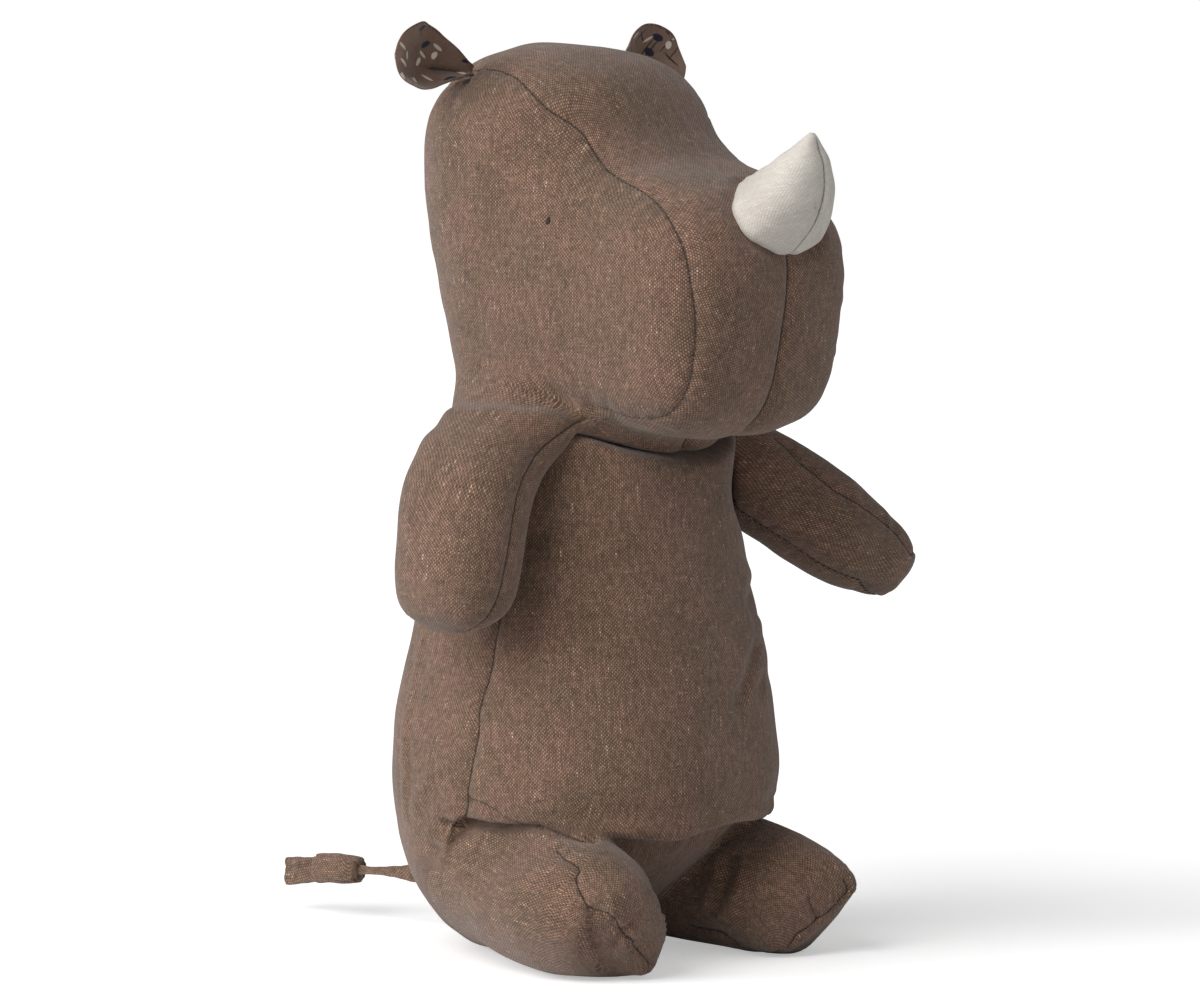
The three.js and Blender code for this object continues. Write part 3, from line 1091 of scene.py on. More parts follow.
@dataclass(frozen=True)
class Wiring:
    """Adds nodes to a tree and joins them up."""

    tree: bpy.types.NodeTree

    def feed(self, socket: Socket, value: object) -> None:
        """Joins a socket to another one, or sets its value."""
        if isinstance(value, Socket):
            self.tree.links.new(value, socket)
        else:
            socket.default_value = value

    def add(
        self, kind: str, inputs: dict[int | str, object] | None = None, **settings: object
    ) -> bpy.types.Node:
        """Adds a node.

        Args:
            kind: the node's type.
            inputs: values or sockets for its inputs, by name or number.
            settings: its other settings.

        Returns:
            The node.
        """
        node = self.tree.nodes.new(kind)
        for key, value in settings.items():
            setattr(node, key, value)
        for key, value in (inputs or {}).items():
            self.feed(node.inputs[key], value)
        return node

    def math(self, operation: str, *values: object, clamp: bool = False) -> Socket:
        """A sum or other simple function of numbers."""
        inputs = dict(enumerate(values))
        return self.add("ShaderNodeMath", inputs, operation=operation, use_clamp=clamp).outputs[0]

    def times(self, first: object, second: object) -> Socket:
        """The product of two numbers."""
        return self.math("MULTIPLY", first, second)

    def plus(self, first: object, second: object) -> Socket:
        """The sum of two numbers."""
        return self.math("ADD", first, second)

    def minus(self, first: object, second: object) -> Socket:
        """The difference of two numbers."""
        return self.math("SUBTRACT", first, second)

    def linear(self, value: object, slope: object, start: object, clamp: bool = False) -> Socket:
        """A number times a slope, and a start added."""
        return self.math("MULTIPLY_ADD", value, slope, start, clamp=clamp)

    def vector(self, operation: str, *values: object) -> Socket:
        """A simple function of vectors."""
        return self.add("ShaderNodeVectorMath", dict(enumerate(values)), operation=operation).outputs[0]

    def join(self, *values: object) -> Socket:
        """A vector from up to three numbers."""
        return self.add("ShaderNodeCombineXYZ", dict(enumerate(values))).outputs[0]

    def step(self, value: object, start: float, end: float) -> Socket:
        """A smooth step from 0 at start to 1 at end."""
        node = self.add("ShaderNodeMapRange", {0: value, 1: start, 2: end}, interpolation_type="SMOOTHSTEP")
        return node.outputs[0]

    def mix(self, share: object, first: object, second: object) -> Socket:
        """A mixture of two colours."""
        return self.add("ShaderNodeMix", {0: share, 6: first, 7: second}, data_type="RGBA").outputs[2]

    def noise(self, place: Socket, scale: float, detail: float = 2.0) -> Socket:
        """Smooth noise between 0 and 1 over a flat place."""
        inputs = {"Vector": place, "Scale": scale, "Detail": detail}
        return self.add("ShaderNodeTexNoise", inputs, noise_dimensions="2D").outputs["Fac"]

    def cells(self, place: Socket, scale: float, randomness: float) -> bpy.types.Node:
        """A flat place split into cells round scattered points."""
        inputs = {"Vector": place, "Scale": scale, "Randomness": randomness}
        return self.add("ShaderNodeTexVoronoi", inputs, voronoi_dimensions="2D")

    def scale(self, vector: object, size: object) -> Socket:
        """A vector times a number."""
        return self.add("ShaderNodeVectorMath", {0: vector, "Scale": size}, operation="SCALE").outputs[0]

    def blend(self, share: object, first: object, second: object) -> Socket:
        """A mixture of two numbers."""
        return self.add("ShaderNodeMix", {0: share, 2: first, 3: second}).outputs[0]


def colour(code: str) -> tuple[float, float, float, float]:
    """A colour from its six-digit code, in linear values."""
    parts = [int(code[i : i + 2], 16) / 255 for i in (1, 3, 5)]
    linear = [v / 12.92 if v <= 0.04045 else ((v + 0.055) / 1.055) ** 2.4 for v in parts]
    return (*linear, 1.0)


@dataclass
class LinenWeave:
    """The node group for a plain weave of uneven linen threads."""

    name: str = "linen_weave"
    slub_step: float = 0.09
    grain_step: float = 0.07
    wander_reach: float = 1.4
    wander_scale: float = 0.07
    piece_step: float = 0.37  # how many lengths of one tone a thread has for each thread it crosses
    nub_cell: float = 7.0
    checker: float = 0.42  # how much paler the warp is than the cloth, and how much darker the weft
    nub_size: Pair = (0.03, 0.11)  # where a nub's edge starts and ends, in cells
    nub_pick: Pair = (0.78, 0.8)  # chance values above which a cell has one
    slub_edge: Pair = (0.72, 0.8)  # chance values above which a thread is a slub
    broad_scale: float = 0.045  # of the patches of tint
    fine_scale: float = 0.32
    tint_edge: Pair = (0.36, 0.64)
    # slopes and starts:
    slub_height: Pair = (0.35, 0.8)
    arch: Pair = (0.4, 0.6)  # of a thread from one crossing to the next
    grain_tone: Pair = (0.8, 0.6)
    piece_tone: Pair = (0.6, 0.7)
    fleck_tone: Pair = (0.24, 0.88)
    # darkens the tone where the threads lie low: painted shade in the gaps of the weave
    painted_gap_shade: Pair = (0.7, 0.46)

    def tree(self) -> bpy.types.NodeTree:
        """Makes the group.

        Returns:
            A group that turns a place in millimetres into the threads' tone, with painted shade in the gaps
            between them, and their relief, slubs and tint.
        """
        tree = bpy.data.node_groups.new(self.name, "ShaderNodeTree")
        tree.interface.new_socket("Place", in_out="INPUT", socket_type="NodeSocketVector")
        for name, value in (("Pitch", 0.6), ("Wander", 1.0)):
            socket = tree.interface.new_socket(name, in_out="INPUT", socket_type="NodeSocketFloat")
            socket.default_value = value
        for name in ("Tone", "Relief", "Slubs", "Tint"):
            tree.interface.new_socket(name, in_out="OUTPUT", socket_type="NodeSocketFloat")
        web = Wiring(tree)
        given = web.add("NodeGroupInput").outputs
        place = self.wandering(web, given)
        threads = web.vector("DIVIDE", place, web.join(given["Pitch"], given["Pitch"], 1.0))
        split = web.add("ShaderNodeSeparateXYZ", {0: threads}).outputs
        warp = self.thread(web, split[0], split[1], 0.0)
        weft = self.thread(web, split[1], split[0], 1.0)
        on_top = web.step(web.minus(warp[0], weft[0]), -0.15, 0.15)
        relief = web.math("MAXIMUM", warp[0], weft[0])
        dark = web.times(weft[1], 1 - self.checker)
        pale = web.times(warp[1], 1 + self.checker)
        shade = web.blend(on_top, dark, pale)
        slubs = web.blend(on_top, weft[2], warp[2])
        nubs = self.nubs(web, place)
        fleck = web.linear(web.step(web.noise(place, 0.5, 3.0), 0.3, 0.7), *self.fleck_tone)
        # painted shade: the tone darkens where the threads lie low
        tone = web.times(shade, web.linear(relief, *self.painted_gap_shade))
        broad = web.noise(given["Place"], self.broad_scale, 3.0)
        fine = web.noise(given["Place"], self.fine_scale, 2.0)
        tint = web.plus(web.times(broad, 0.8), web.times(fine, 0.2))
        web.add("NodeGroupOutput", {
            "Tone": web.times(tone, fleck),
            "Relief": web.plus(relief, nubs),
            "Slubs": web.math("MAXIMUM", slubs, nubs),
            "Tint": web.step(tint, *self.tint_edge)})
        return tree

    def wandering(self, web: Wiring, given: object) -> Socket:
        """The group's place, bent so that the threads aren't quite straight."""
        inputs = {"Vector": given["Place"], "Scale": self.wander_scale, "Detail": 1.0}
        slow = web.add("ShaderNodeTexNoise", inputs, noise_dimensions="2D").outputs["Color"]
        bent = web.vector("SUBTRACT", slow, (0.5, 0.5, 0.5))
        reach = web.times(given["Wander"], self.wander_reach)
        return web.vector("ADD", given["Place"], web.scale(bent, reach))

    def nubs(self, web: Wiring, place: Socket) -> Socket:
        """The few small pale knots of a coarse yarn, as a mask."""
        cells = web.cells(place, 1 / self.nub_cell, 1.0)
        near = web.minus(1.0, web.step(cells.outputs["Distance"], *self.nub_size))
        pick = web.add("ShaderNodeSeparateColor", {0: cells.outputs["Color"]}).outputs[0]
        return web.times(near, web.step(pick, *self.nub_pick))

    def thread(
        self, web: Wiring, across: Socket, lengthwise: Socket, phase: float
    ) -> tuple[Socket, Socket, Socket]:
        """One of the weave's two sets of threads.

        Args:
            web: the group's wiring.
            across: place across the threads, in threads.
            lengthwise: place along them.
            phase: 0 for the set that starts on top, 1 for the other.

        Returns:
            The threads' height, tone and slubs.
        """
        number = web.math("FLOOR", across)
        middle = web.minus(web.math("FRACT", across), 0.5)
        bulge = web.math("COSINE", web.times(middle, math.pi))
        turn = web.times(web.plus(web.plus(lengthwise, number), phase - 0.5), math.pi)
        over = web.linear(web.math("COSINE", turn), *self.arch)
        chance = web.times(number, 7.31 + phase)
        uneven = web.noise(web.join(chance, web.times(lengthwise, self.slub_step)), 1.0, 1.0)
        slub = web.step(uneven, *self.slub_edge)
        shifted = web.times(number, 0.43)
        piece = web.math("FLOOR", web.linear(lengthwise, self.piece_step, shifted))
        patch = web.add("ShaderNodeTexWhiteNoise", {"Vector": web.join(number, piece)}, noise_dimensions="2D")
        grain = web.noise(web.join(chance, web.times(lengthwise, self.grain_step)), 1.0, 2.0)
        height = web.times(web.times(bulge, over), web.linear(slub, *self.slub_height))
        mottled = web.linear(grain, *self.grain_tone)
        pieces = web.linear(patch.outputs["Value"], *self.piece_tone)
        return height, web.times(mottled, pieces), slub


@dataclass
class SewnEdge:
    """The node group for the thin dark line where two panels are sewn together, which also paints the shade
    along the lap creases.
    """

    name: str = "sewn_edge"
    half_width: float = 0.42
    ragged: Pair = (0.9, -0.45)  # slope and start of how far it strays, in millimetres
    broken: Pair = (1.2, 0.35)  # slope and start of how much of it shows

    def tree(self) -> bpy.types.NodeTree:
        """Makes the group.

        Returns:
            A group whose output is how dark the seam, or the painted shade of a lap crease, makes the cloth,
            from 0 to 1.
        """
        tree = bpy.data.node_groups.new(self.name, "ShaderNodeTree")
        tree.interface.new_socket("Place", in_out="INPUT", socket_type="NodeSocketVector")
        tree.interface.new_socket("Dark", in_out="OUTPUT", socket_type="NodeSocketFloat")
        web = Wiring(tree)
        place = web.add("NodeGroupInput").outputs[0]
        distance = web.add("ShaderNodeAttribute", attribute_name=SEAM_MARK).outputs["Fac"]
        depth = web.add("ShaderNodeAttribute", attribute_name=SEAM_DARK_AND_CREASE_SHADE_MARK).outputs["Fac"]
        ragged = web.linear(web.noise(place, 0.9, 2.0), *self.ragged)
        off = web.math("DIVIDE", web.plus(distance, web.times(ragged, 0.5)), self.half_width)
        line = web.math("EXPONENT", web.times(web.times(off, off), -1.0))
        broken = web.linear(web.noise(place, 0.45, 1.0), *self.broken, clamp=True)
        web.add("NodeGroupOutput", {"Dark": web.times(web.times(line, depth), broken)})
        return tree


@dataclass(frozen=True)
class Finish:
    """What every finish has."""

    name: str
    rough: float = 0.92
    sheen: float = 0.2
    sheen_rough: float = 0.6
    specular: float = 0.18

    def start(self) -> tuple[Material, Wiring, bpy.types.Node, Socket]:
        """Makes an empty material.

        Returns:
            The material, its wiring, its shader and a place in the cloth.
        """
        material = bpy.data.materials.new(self.name)
        material.use_nodes = True
        material.node_tree.nodes.clear()
        web = Wiring(material.node_tree)
        shader = web.add("ShaderNodeBsdfPrincipled", {
            "Roughness": self.rough, "Sheen Weight": self.sheen, "Sheen Roughness": self.sheen_rough,
            "Specular IOR Level": self.specular})
        web.add("ShaderNodeOutputMaterial", {0: shader.outputs[0]})
        place = web.add("ShaderNodeUVMap", uv_map=WEAVE_MAP).outputs[0]
        return material, web, shader, place

    def emboss(
        self, web: Wiring, shader: bpy.types.Node, height: Socket, rise: float, strength: float = 1.0
    ) -> None:
        """Gives the surface a fine relief.

        Args:
            web: the material's wiring.
            shader: its shader.
            height: the relief, without a unit.
            rise: how many millimetres one step of it stands for.
            strength: how strongly it shows.
        """
        inputs = {"Height": height, "Strength": strength, "Distance": rise * MILLIMETRE}
        web.feed(shader.inputs["Normal"], web.add("ShaderNodeBump", inputs).outputs[0])


@dataclass(frozen=True)
class Linen(Finish):
    """Plain-woven linen in two close shades, with paler slubs."""

    warm: str = "#7e6151"
    cool: str = "#745c4a"
    slub: str = "#a08a78"
    pitch: float = 0.64
    contrast: float = 1.0  # how strongly the threads' tone shows
    bump: float = 0.1  # millimetres
    slub_share: float = 0.5  # how much paler a slub is
    groove: float = 3.0  # how deep the line of a seam is, in threads' heights
    line: str = "#1c130e"  # its colour, which also paints the shade along the lap creases
    line_share: float = 0.9

    def colours(self, web: Wiring, place: Socket) -> tuple[Socket, Socket]:
        """The cloth's colour and relief.

        Args:
            web: the material's wiring.
            place: place in the cloth.

        Returns:
            Sockets for its colour and for the height of its threads.
        """
        weave = web.add("ShaderNodeGroup", node_tree=bpy.data.node_groups["linen_weave"])
        web.feed(weave.inputs["Place"], place)
        weave.inputs["Pitch"].default_value = self.pitch
        out = weave.outputs
        base = web.mix(out["Tint"], colour(self.warm), colour(self.cool))
        base = web.mix(web.times(out["Slubs"], self.slub_share), base, colour(self.slub))
        tone = web.linear(out["Tone"], self.contrast, 1.0 - self.contrast)
        return web.scale(base, tone), out["Relief"]

    def make(self) -> Material:
        """The finished material."""
        material, web, shader, place = self.start()
        toned, relief = self.colours(web, place)
        edge = web.add("ShaderNodeGroup", node_tree=bpy.data.node_groups["sewn_edge"])
        web.feed(edge.inputs["Place"], place)
        # the seams' dark line, which along the lap creases is painted shade
        dark = web.times(edge.outputs["Dark"], self.line_share)
        web.feed(shader.inputs["Base Color"], web.mix(dark, toned, colour(self.line)))
        height = web.minus(relief, web.times(edge.outputs["Dark"], self.groove))
        self.emboss(web, shader, height, self.bump)
        return material


@dataclass(frozen=True)
class Motif:
    """One small shape of a scattered print."""

    shade: str
    cell: float  # distance from one to the next, in millimetres
    length: float
    width: float
    turn: float
    place: Pair


@dataclass(frozen=True)
class PrintedLinen(Linen):
    """Darker linen with a small scattered print of ovals, dots and dashes."""

    motifs: tuple[Motif, ...] = (
        Motif("#1b2038", 14.5, 4.6, 2.6, 0.6, (3.1, 2.2)),
        Motif("#1d1512", 12.0, 8.5, 0.5, 2.2, (17.7, 9.4)),
        Motif("#1d1512", 14.0, 7.5, 0.55, 0.9, (31.2, 4.9)),
        Motif("#d9cdbf", 12.5, 3.2, 2.1, 1.3, (41.3, 20.5)),
        Motif("#cfc2b3", 12.0, 4.4, 1.2, 2.6, (7.7, 50.5)),
    )
    scatter: float = 0.7

    def make(self) -> Material:
        """The finished material."""
        material, web, shader, place = self.start()
        toned, relief = self.colours(web, place)
        for motif in self.motifs:
            toned = web.mix(self.mask(web, place, motif), toned, colour(motif.shade))
        web.feed(shader.inputs["Base Color"], toned)
        self.emboss(web, shader, relief, self.bump)
        return material

    def mask(self, web: Wiring, place: Socket, motif: Motif) -> Socket:
        """Where a motif is printed.

        Args:
            web: the material's wiring.
            place: place in the cloth.
            motif: the motif.

        Returns:
            1 on the motif and 0 off it.
        """
        turned = web.add("ShaderNodeMapping", {
            "Vector": place, "Location": (*motif.place, 0), "Rotation": (0, 0, motif.turn)}).outputs[0]
        stretch = math.sqrt(motif.length / motif.width)
        scaled = web.vector("MULTIPLY", turned, (1 / stretch / motif.cell, stretch / motif.cell, 1.0))
        cells = web.cells(scaled, 1.0, self.scatter)
        size = math.sqrt(motif.length * motif.width) / 2 / motif.cell
        return web.minus(1.0, web.step(cells.outputs["Distance"], 0.85 * size, 1.15 * size))


@dataclass(frozen=True)
class Thread(Finish):
    """Twisted sewing thread, with painted shade in the grooves of its twist."""

    shade: str = "#3a281e"
    # painted shade in the grooves of the twist
    groove: str = "#1d120c"
    twist: float = 2.2
    bump: float = 0.1  # millimetres

    def make(self) -> Material:
        """The finished material."""
        material, web, shader, _ = self.start()
        place = web.add("ShaderNodeTexCoord").outputs["Object"]
        inputs = {"Vector": place, "Scale": self.twist / MILLIMETRE / 20, "Distortion": 1.5}
        waves = web.add("ShaderNodeTexWave", inputs, bands_direction="DIAGONAL").outputs["Fac"]
        # the twist's grooves get the darker colour: painted shade
        dark = web.mix(web.times(waves, 0.5), colour(self.shade), colour(self.groove))
        web.feed(shader.inputs["Base Color"], dark)
        self.emboss(web, shader, waves, self.bump, 0.8)
        return material


@dataclass(frozen=True)
class Floor(Finish):
    """A pale seamless floor. It glows a little, towards the camera only, so that shadows on it stay light."""

    shade: tuple[float, float, float, float] = (0.88, 0.88, 0.88, 1.0)
    glow: float = 0.46

    def make(self) -> Material:
        """The finished material."""
        material, web, shader, _ = self.start()
        place = web.add("ShaderNodeTexCoord").outputs["Object"]
        grain = web.add("ShaderNodeTexNoise", {"Vector": place, "Scale": 40.0})
        web.feed(shader.inputs["Roughness"], web.linear(grain.outputs["Fac"], 0.1, 0.85))
        shader.inputs["Base Color"].default_value = self.shade
        seen = web.add("ShaderNodeLightPath").outputs["Is Camera Ray"]
        web.feed(shader.inputs["Emission Color"], web.join(seen, seen, seen))
        shader.inputs["Emission Strength"].default_value = self.glow
        return material


@dataclass
class Wardrobe:
    """Every finish of the toy, made once."""

    brown: Material = field(init=False)
    pale: Material = field(init=False)
    printed: Material = field(init=False)
    thread: Material = field(init=False)

    def __post_init__(self) -> None:
        """Makes the shared groups and the materials."""
        LinenWeave().tree()
        SewnEdge().tree()
        self.brown = Linen("brown_linen").make()
        self.pale = Linen(
            "pale_linen", warm="#cec8bf", cool="#c6bfb6", slub="#dcd7cf", pitch=0.45, contrast=0.3, bump=0.03,
        ).make()
        self.printed = PrintedLinen(
            "printed_linen", warm="#866d5e", cool="#7b6355", slub="#927b6c", pitch=0.34, contrast=0.35,
            bump=0.03,
        ).make()
        self.thread = Thread("dark_thread").make()


# ------------------------------------------------------------------ pieces


class HeadPanel(IntEnum):
    """The cloth panels of the head and arms."""

    CHEEK = 0
    TOP = 1
    CHIN_RIGHT = 2
    CHIN_LEFT = 3
    ARM_RIGHT_INNER = 4
    ARM_RIGHT_OUTER = 5
    ARM_LEFT_INNER = 6
    ARM_LEFT_OUTER = 7


class BodyPanel(IntEnum):
    """The cloth panels of the body and legs."""

    FRONT = 0
    BACK_RIGHT = 1
    LEG_RIGHT = 2
    LEG_LEFT = 4
    BACK_LEFT = 6


MIDDLE_PANELS = (HeadPanel.TOP, HeadPanel.CHIN_RIGHT, HeadPanel.CHIN_LEFT)
INNER_PANELS = (HeadPanel.ARM_RIGHT_INNER, HeadPanel.ARM_LEFT_INNER)
OUTER_PANELS = (HeadPanel.ARM_RIGHT_OUTER, HeadPanel.ARM_LEFT_OUTER)
BACK_PANELS = (BodyPanel.BACK_RIGHT, BodyPanel.BACK_LEFT)
LEG_PANELS = (BodyPanel.LEG_RIGHT, BodyPanel.LEG_LEFT)


def on_inner_panel(limb: LimbForm, at: LimbPlace) -> Array:
    """Whether points are on the panel that runs from a limb's first seam to its second."""
    turned = at.angle() * math.copysign(1.0, limb.second)
    return (turned > 0) & (turned < abs(limb.second))


@dataclass
class SewnPiece:
    """What the two large skins share: their seams, and the lines that stitches follow."""

    skin: SewnSkin = field(init=False)
    lines: dict[str, Array] = field(init=False, default_factory=dict)

    def sew(self, seams: dict[str, Seam]) -> None:
        """Sews the skin and keeps the lines."""
        self.lines = dict(zip(seams, self.skin.sew(list(seams.values())), strict=True))

    def stitch_line(self, name: str) -> tuple[Array, Array]:
        """A seam's line on the finished cloth, and the outward direction along it."""
        line = self.lines[name]
        return self.skin.carry(line), unit(self.skin.form.slope(line)[1])


@dataclass
class HeadAndArms(SewnPiece):
    """The head and the two arms, one skin whose cheeks run on into the arms' outer panels."""

    form: HeadAndArmsForm
    cell: float = 1.1
    box: Table = ((-112.0, -106.0, 110.0), (128.0, 62.0, 336.0))  # two corners of a box round it
    gusset: Table = (
        (-66, 41.7), (-59, 39.4), (-54, 38.3), (-46, 37.8), (-36, 37.6), (-26, 37.8), (-15, 38.6), (-8, 40.1),
        (-2, 41.2), (8, 41.4), (14, 41), (21, 39.3), (30, 37.1), (40, 36.4), (50, 36.1), (59, 35.4),
        (69, 35.6), (74, 37.2), (79, 39.5), (85, 41.9), (92, 42.3), (99, 40.6), (109, 37.6), (120, 33.5),
        (135, 34), (160, 34), (180, 32), (200, 28), (220, 24), (240, 20),
    )  # bearing in degrees, and half the middle panel's width there
    gusset_ends: Pair = (-64.0, 236.0)
    cheek_dark: tuple[float, ...] = (0.05, 0.5, 0.9, 0.9, 0.9, 0.85, 0.8, 0.8, 0.8)
    chin_bearing: float = -4.0
    centre_seam: Table = (
        (97.9, 257.3), (98.9, 249.9), (98.9, 241.5), (98, 231.6), (96.1, 223), (91.9, 213.7), (86.8, 206.4),
        (77.8, 199.6), (67.8, 193.6), (60.7, 190), (50, 183.5),
    )  # forward and height
    left_arm_seam: Table = (
        (61.8, 37.5, 186.3), (63.1, 42.4, 182.6), (64.3, 46.6, 178.7), (67.2, 50, 175.5), (73.7, 56, 168.8),
        (83.1, 59.7, 163.6), (95.3, 62.3, 156.3), (101.4, 62.4, 152), (108.2, 61.4, 142.5),
    )
    arm_starts: tuple[Pair, ...] = ((7.5, 216.5), (-4.6, 205.0))  # where the arms' cloth joins
    armpit: Triple = (-41.5, 39.0, 198.4)
    eye: Triple = (48.5, 28.2, 268.3)
    ear: Triple = (37.5, -22.0, 321.5)
    ear_rays: Table = (
        (0.3, 0.9, -0.1), (0.75, 0.6, -0.5), (0.8, -0.1, -0.7), (0.6, -0.8, -0.4), (-0.5, -0.8, 0.1),
        (-0.6, 0.7, 0.1),
    )  # directions of the creases round it
    crease_length: float = 9.0
    cut: float = -100.0  # bearing in degrees where the middle panel's cloth starts and ends
    grain_turns: Triple = (0.0, 0.35, -0.3)  # of the middle panels' cloth, in radians
    outer_middles: Pair = (75.0, -90.0)  # middles of the arms' outer cloth, in degrees
    wrap: float = 50.0  # how fast the cheeks' cloth runs round the back of the head
    apart: Triple = (200.0, 150.0, 500.0)  # between middle panels, others, and sides

    def gusset_seam(self, side: int) -> Array:
        """The seam between a cheek and the middle panel, on one side."""
        bearing = np.linspace(*self.gusset_ends, 64)
        half = along(self.gusset, bearing)[:, 0]
        return self.form.head.at(side * half, np.radians(bearing))

    def seams(self) -> dict[str, Seam]:
        """The seams of the head and arms, by name."""
        right, left = self.form.arms
        centre = spots(tuple((0.0, *row) for row in self.centre_seam))
        tip = left.line(180, 1, 1, 1)
        front_right = np.concatenate([spots((self.armpit,)), right.line(0, 0.16), right.line(-50, 1, 1, 1)])
        front_left = np.concatenate([spots(self.left_arm_seam), left.line(0, 0.97, 1, 2), tip])
        closing = np.concatenate([tip, left.line(130, 0.9, 0.9, 1), left.line(90, 0.2, 0.8)[::-1]])
        return {
            "cheek_right": Seam(self.gusset_seam(-1), depth=0.6, roll=0.55, dark=self.cheek_dark, seed=1),
            "cheek_left": Seam(self.gusset_seam(1), depth=0.6, roll=0.55, dark=self.cheek_dark, seed=2),
            "centre": Seam(centre, depth=1.0, roll=1.2, pucker=0.2, dark=(1.0, 0.9), seed=3),
            "arm_right": Seam(front_right, depth=0.7, roll=0.5, seed=4),
            "arm_right_inner": Seam(right.line(right.second, 0.2)[::-1], depth=0.7, roll=0.5, seed=5),
            "arm_left": Seam(front_left, depth=0.6, width=1.0, roll=0.5, dark=(0.8, 1.0), seed=6),
            "arm_left_closing": Seam(
                closing, depth=0.8, roll=0.6, pucker=0.35, pucker_pitch=5.0, dark=(0.6, 0.4),
                                     seed=7),
        }

    def folds(self) -> list[Fold]:
        """Where the stuffed cloth bends in without a seam."""
        valley = (
            (-56.4, -8.9, 204), (-59.7, 4.8, 205.4), (-59.2, 14.1, 205.7), (-53.9, 23.8, 204.4),
            (-46.5, 31.4, 202.3), (-42, 39.4, 199.2),
        )
        left_valley = ((52, -8, 199), (56, 6, 198), (56, 20, 196), (50, 32, 193))
        chin = ((-36.3, 59.6, 198), (-34.5, 64.6, 197.1), (-31.2, 68.3, 195.9), (-26.9, 69.9, 194.5))
        shoulder = ((-62, -14, 196), (-70, -4, 193), (-76, 6, 188))
        elbow = ((-66, 33, 190), (-74, 26, 186), (-80, 17, 182))
        nape = ((-44, -32, 205), (-30, -40, 203), (-10, -45, 202), (14, -45, 203), (34, -38, 206))
        return folds_of(
            (valley, 1.6, 5.0), (left_valley, 1.4, 5.0), (chin, 0.8, 2.2), (shoulder, 0.8, 3.5),
            (elbow, 0.5, 3.0), (nape, 0.9, 4.0),
        )

    def build(self) -> None:
        """Makes the skin, sews it and lays its folds."""
        self.skin = stuffed_skin(self.form, *np.array(self.box), self.cell)
        self.skin.ripple(height=0.5, wavelength=42.0, seed=11)
        self.skin.ripple(height=0.22, wavelength=15.0, seed=12)
        self.sew(self.seams())
        self.skin.fold(self.folds())
        self.skin.fold([Fold(Horn(self.form.head).foot_ring(), depth=1.0, width=2.2, ridge=0.25)])
        for side in (-1, 1):
            self.skin.dimple(spot(side * self.eye[0], *self.eye[1:]), depth=1.4, width=2.4)
            self.skin.dimple(spot(side * self.ear[0], *self.ear[1:]), depth=2.2, width=3.0)
            self.gather_ear(side)

    def gather_ear(self, side: int) -> None:
        """Lays the short creases that run out from where an ear is sewn in."""
        middle = spot(side * self.ear[0], *self.ear[1:])
        away = spots(self.ear_rays) * (side, 1, 1) * self.crease_length
        shares = np.array([0.2, 0.6, 1])[:, None]
        self.skin.fold([Fold(middle + shares * step, depth=0.55, width=1.1, ridge=0.5) for step in away])

    def panel_of(self, points: Array) -> Array:
        """The cloth panel at each point."""
        _, shares = self.form.shares(points)
        bearing = np.degrees(self.form.head.bearing(points))
        bearing = np.where(bearing < self.cut, bearing + 360, bearing)
        middle = np.abs(points[:, 0]) < along(self.gusset, bearing)[:, 0]
        chin = np.where(points[:, 0] > 0, HeadPanel.CHIN_LEFT, HeadPanel.CHIN_RIGHT)
        gusset = np.where(bearing < self.chin_bearing, chin, HeadPanel.TOP)
        panel = np.where(middle, gusset, HeadPanel.CHEEK)
        for arm, share, inner, outer in zip(self.form.arms, shares, INNER_PANELS, OUTER_PANELS, strict=True):
            own = np.where(on_inner_panel(arm, arm.place(points)), inner, outer)
            panel = np.where(share > 0.5, own, panel)
        return panel

    def places(self, points: Array, panel: int) -> Array:
        """Where points lie in a cloth panel."""
        head = self.form.head
        if panel in MIDDLE_PANELS:
            bearing = head.bearing(points)
            bearing = np.where(bearing < math.radians(self.cut), bearing + 2 * math.pi, bearing)
            fine = np.radians(np.linspace(self.cut, self.cut + 360, 361))
            run = run_of(head.at(np.zeros_like(fine), fine))
            place = np.stack([points[:, 0], np.interp(bearing, fine, run)], axis=1)
            turn = self.grain_turns[MIDDLE_PANELS.index(panel)]
            c, s = math.cos(turn), math.sin(turn)
            return place @ np.array([[c, s], [-s, c]]) + self.apart[0] * panel
        forward, height = -points[:, 1], points[:, 2]
        lean = along(head.lean, height)[:, 0]
        behind = np.arctan2(lean - forward, np.abs(points[:, 0]) + 1e-6)
        place = np.stack([np.where(forward > lean, forward, lean - self.wrap * behind), height], axis=1)
        _, shares = self.form.shares(points)
        for arm, share, start, outer in zip(
            self.form.arms, shares, self.arm_starts, self.outer_middles, strict=True
        ):
            at = arm.place(points)
            middle = arm.second / 2 if panel in INNER_PANELS else outer
            own = arm.flat(at, middle) * (math.copysign(1.0, outer), -1)
            own = own + start + np.c_[-arm.at(at.run)[:, 1], 0 * at.run]
            place = place + (own - place) * share[:, None]
        return place + self.apart[1] * panel + self.apart[2] * (points[:, :1] > 0)

    def finish(self, wardrobe: Wardrobe) -> Object:
        """Makes the piece."""
        made = self.skin.finish("head_and_arms", self.panel_of, self.places, wardrobe.brown)
        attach(made, BODY)
        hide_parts("head", "arm_right", "arm_left")
        return made


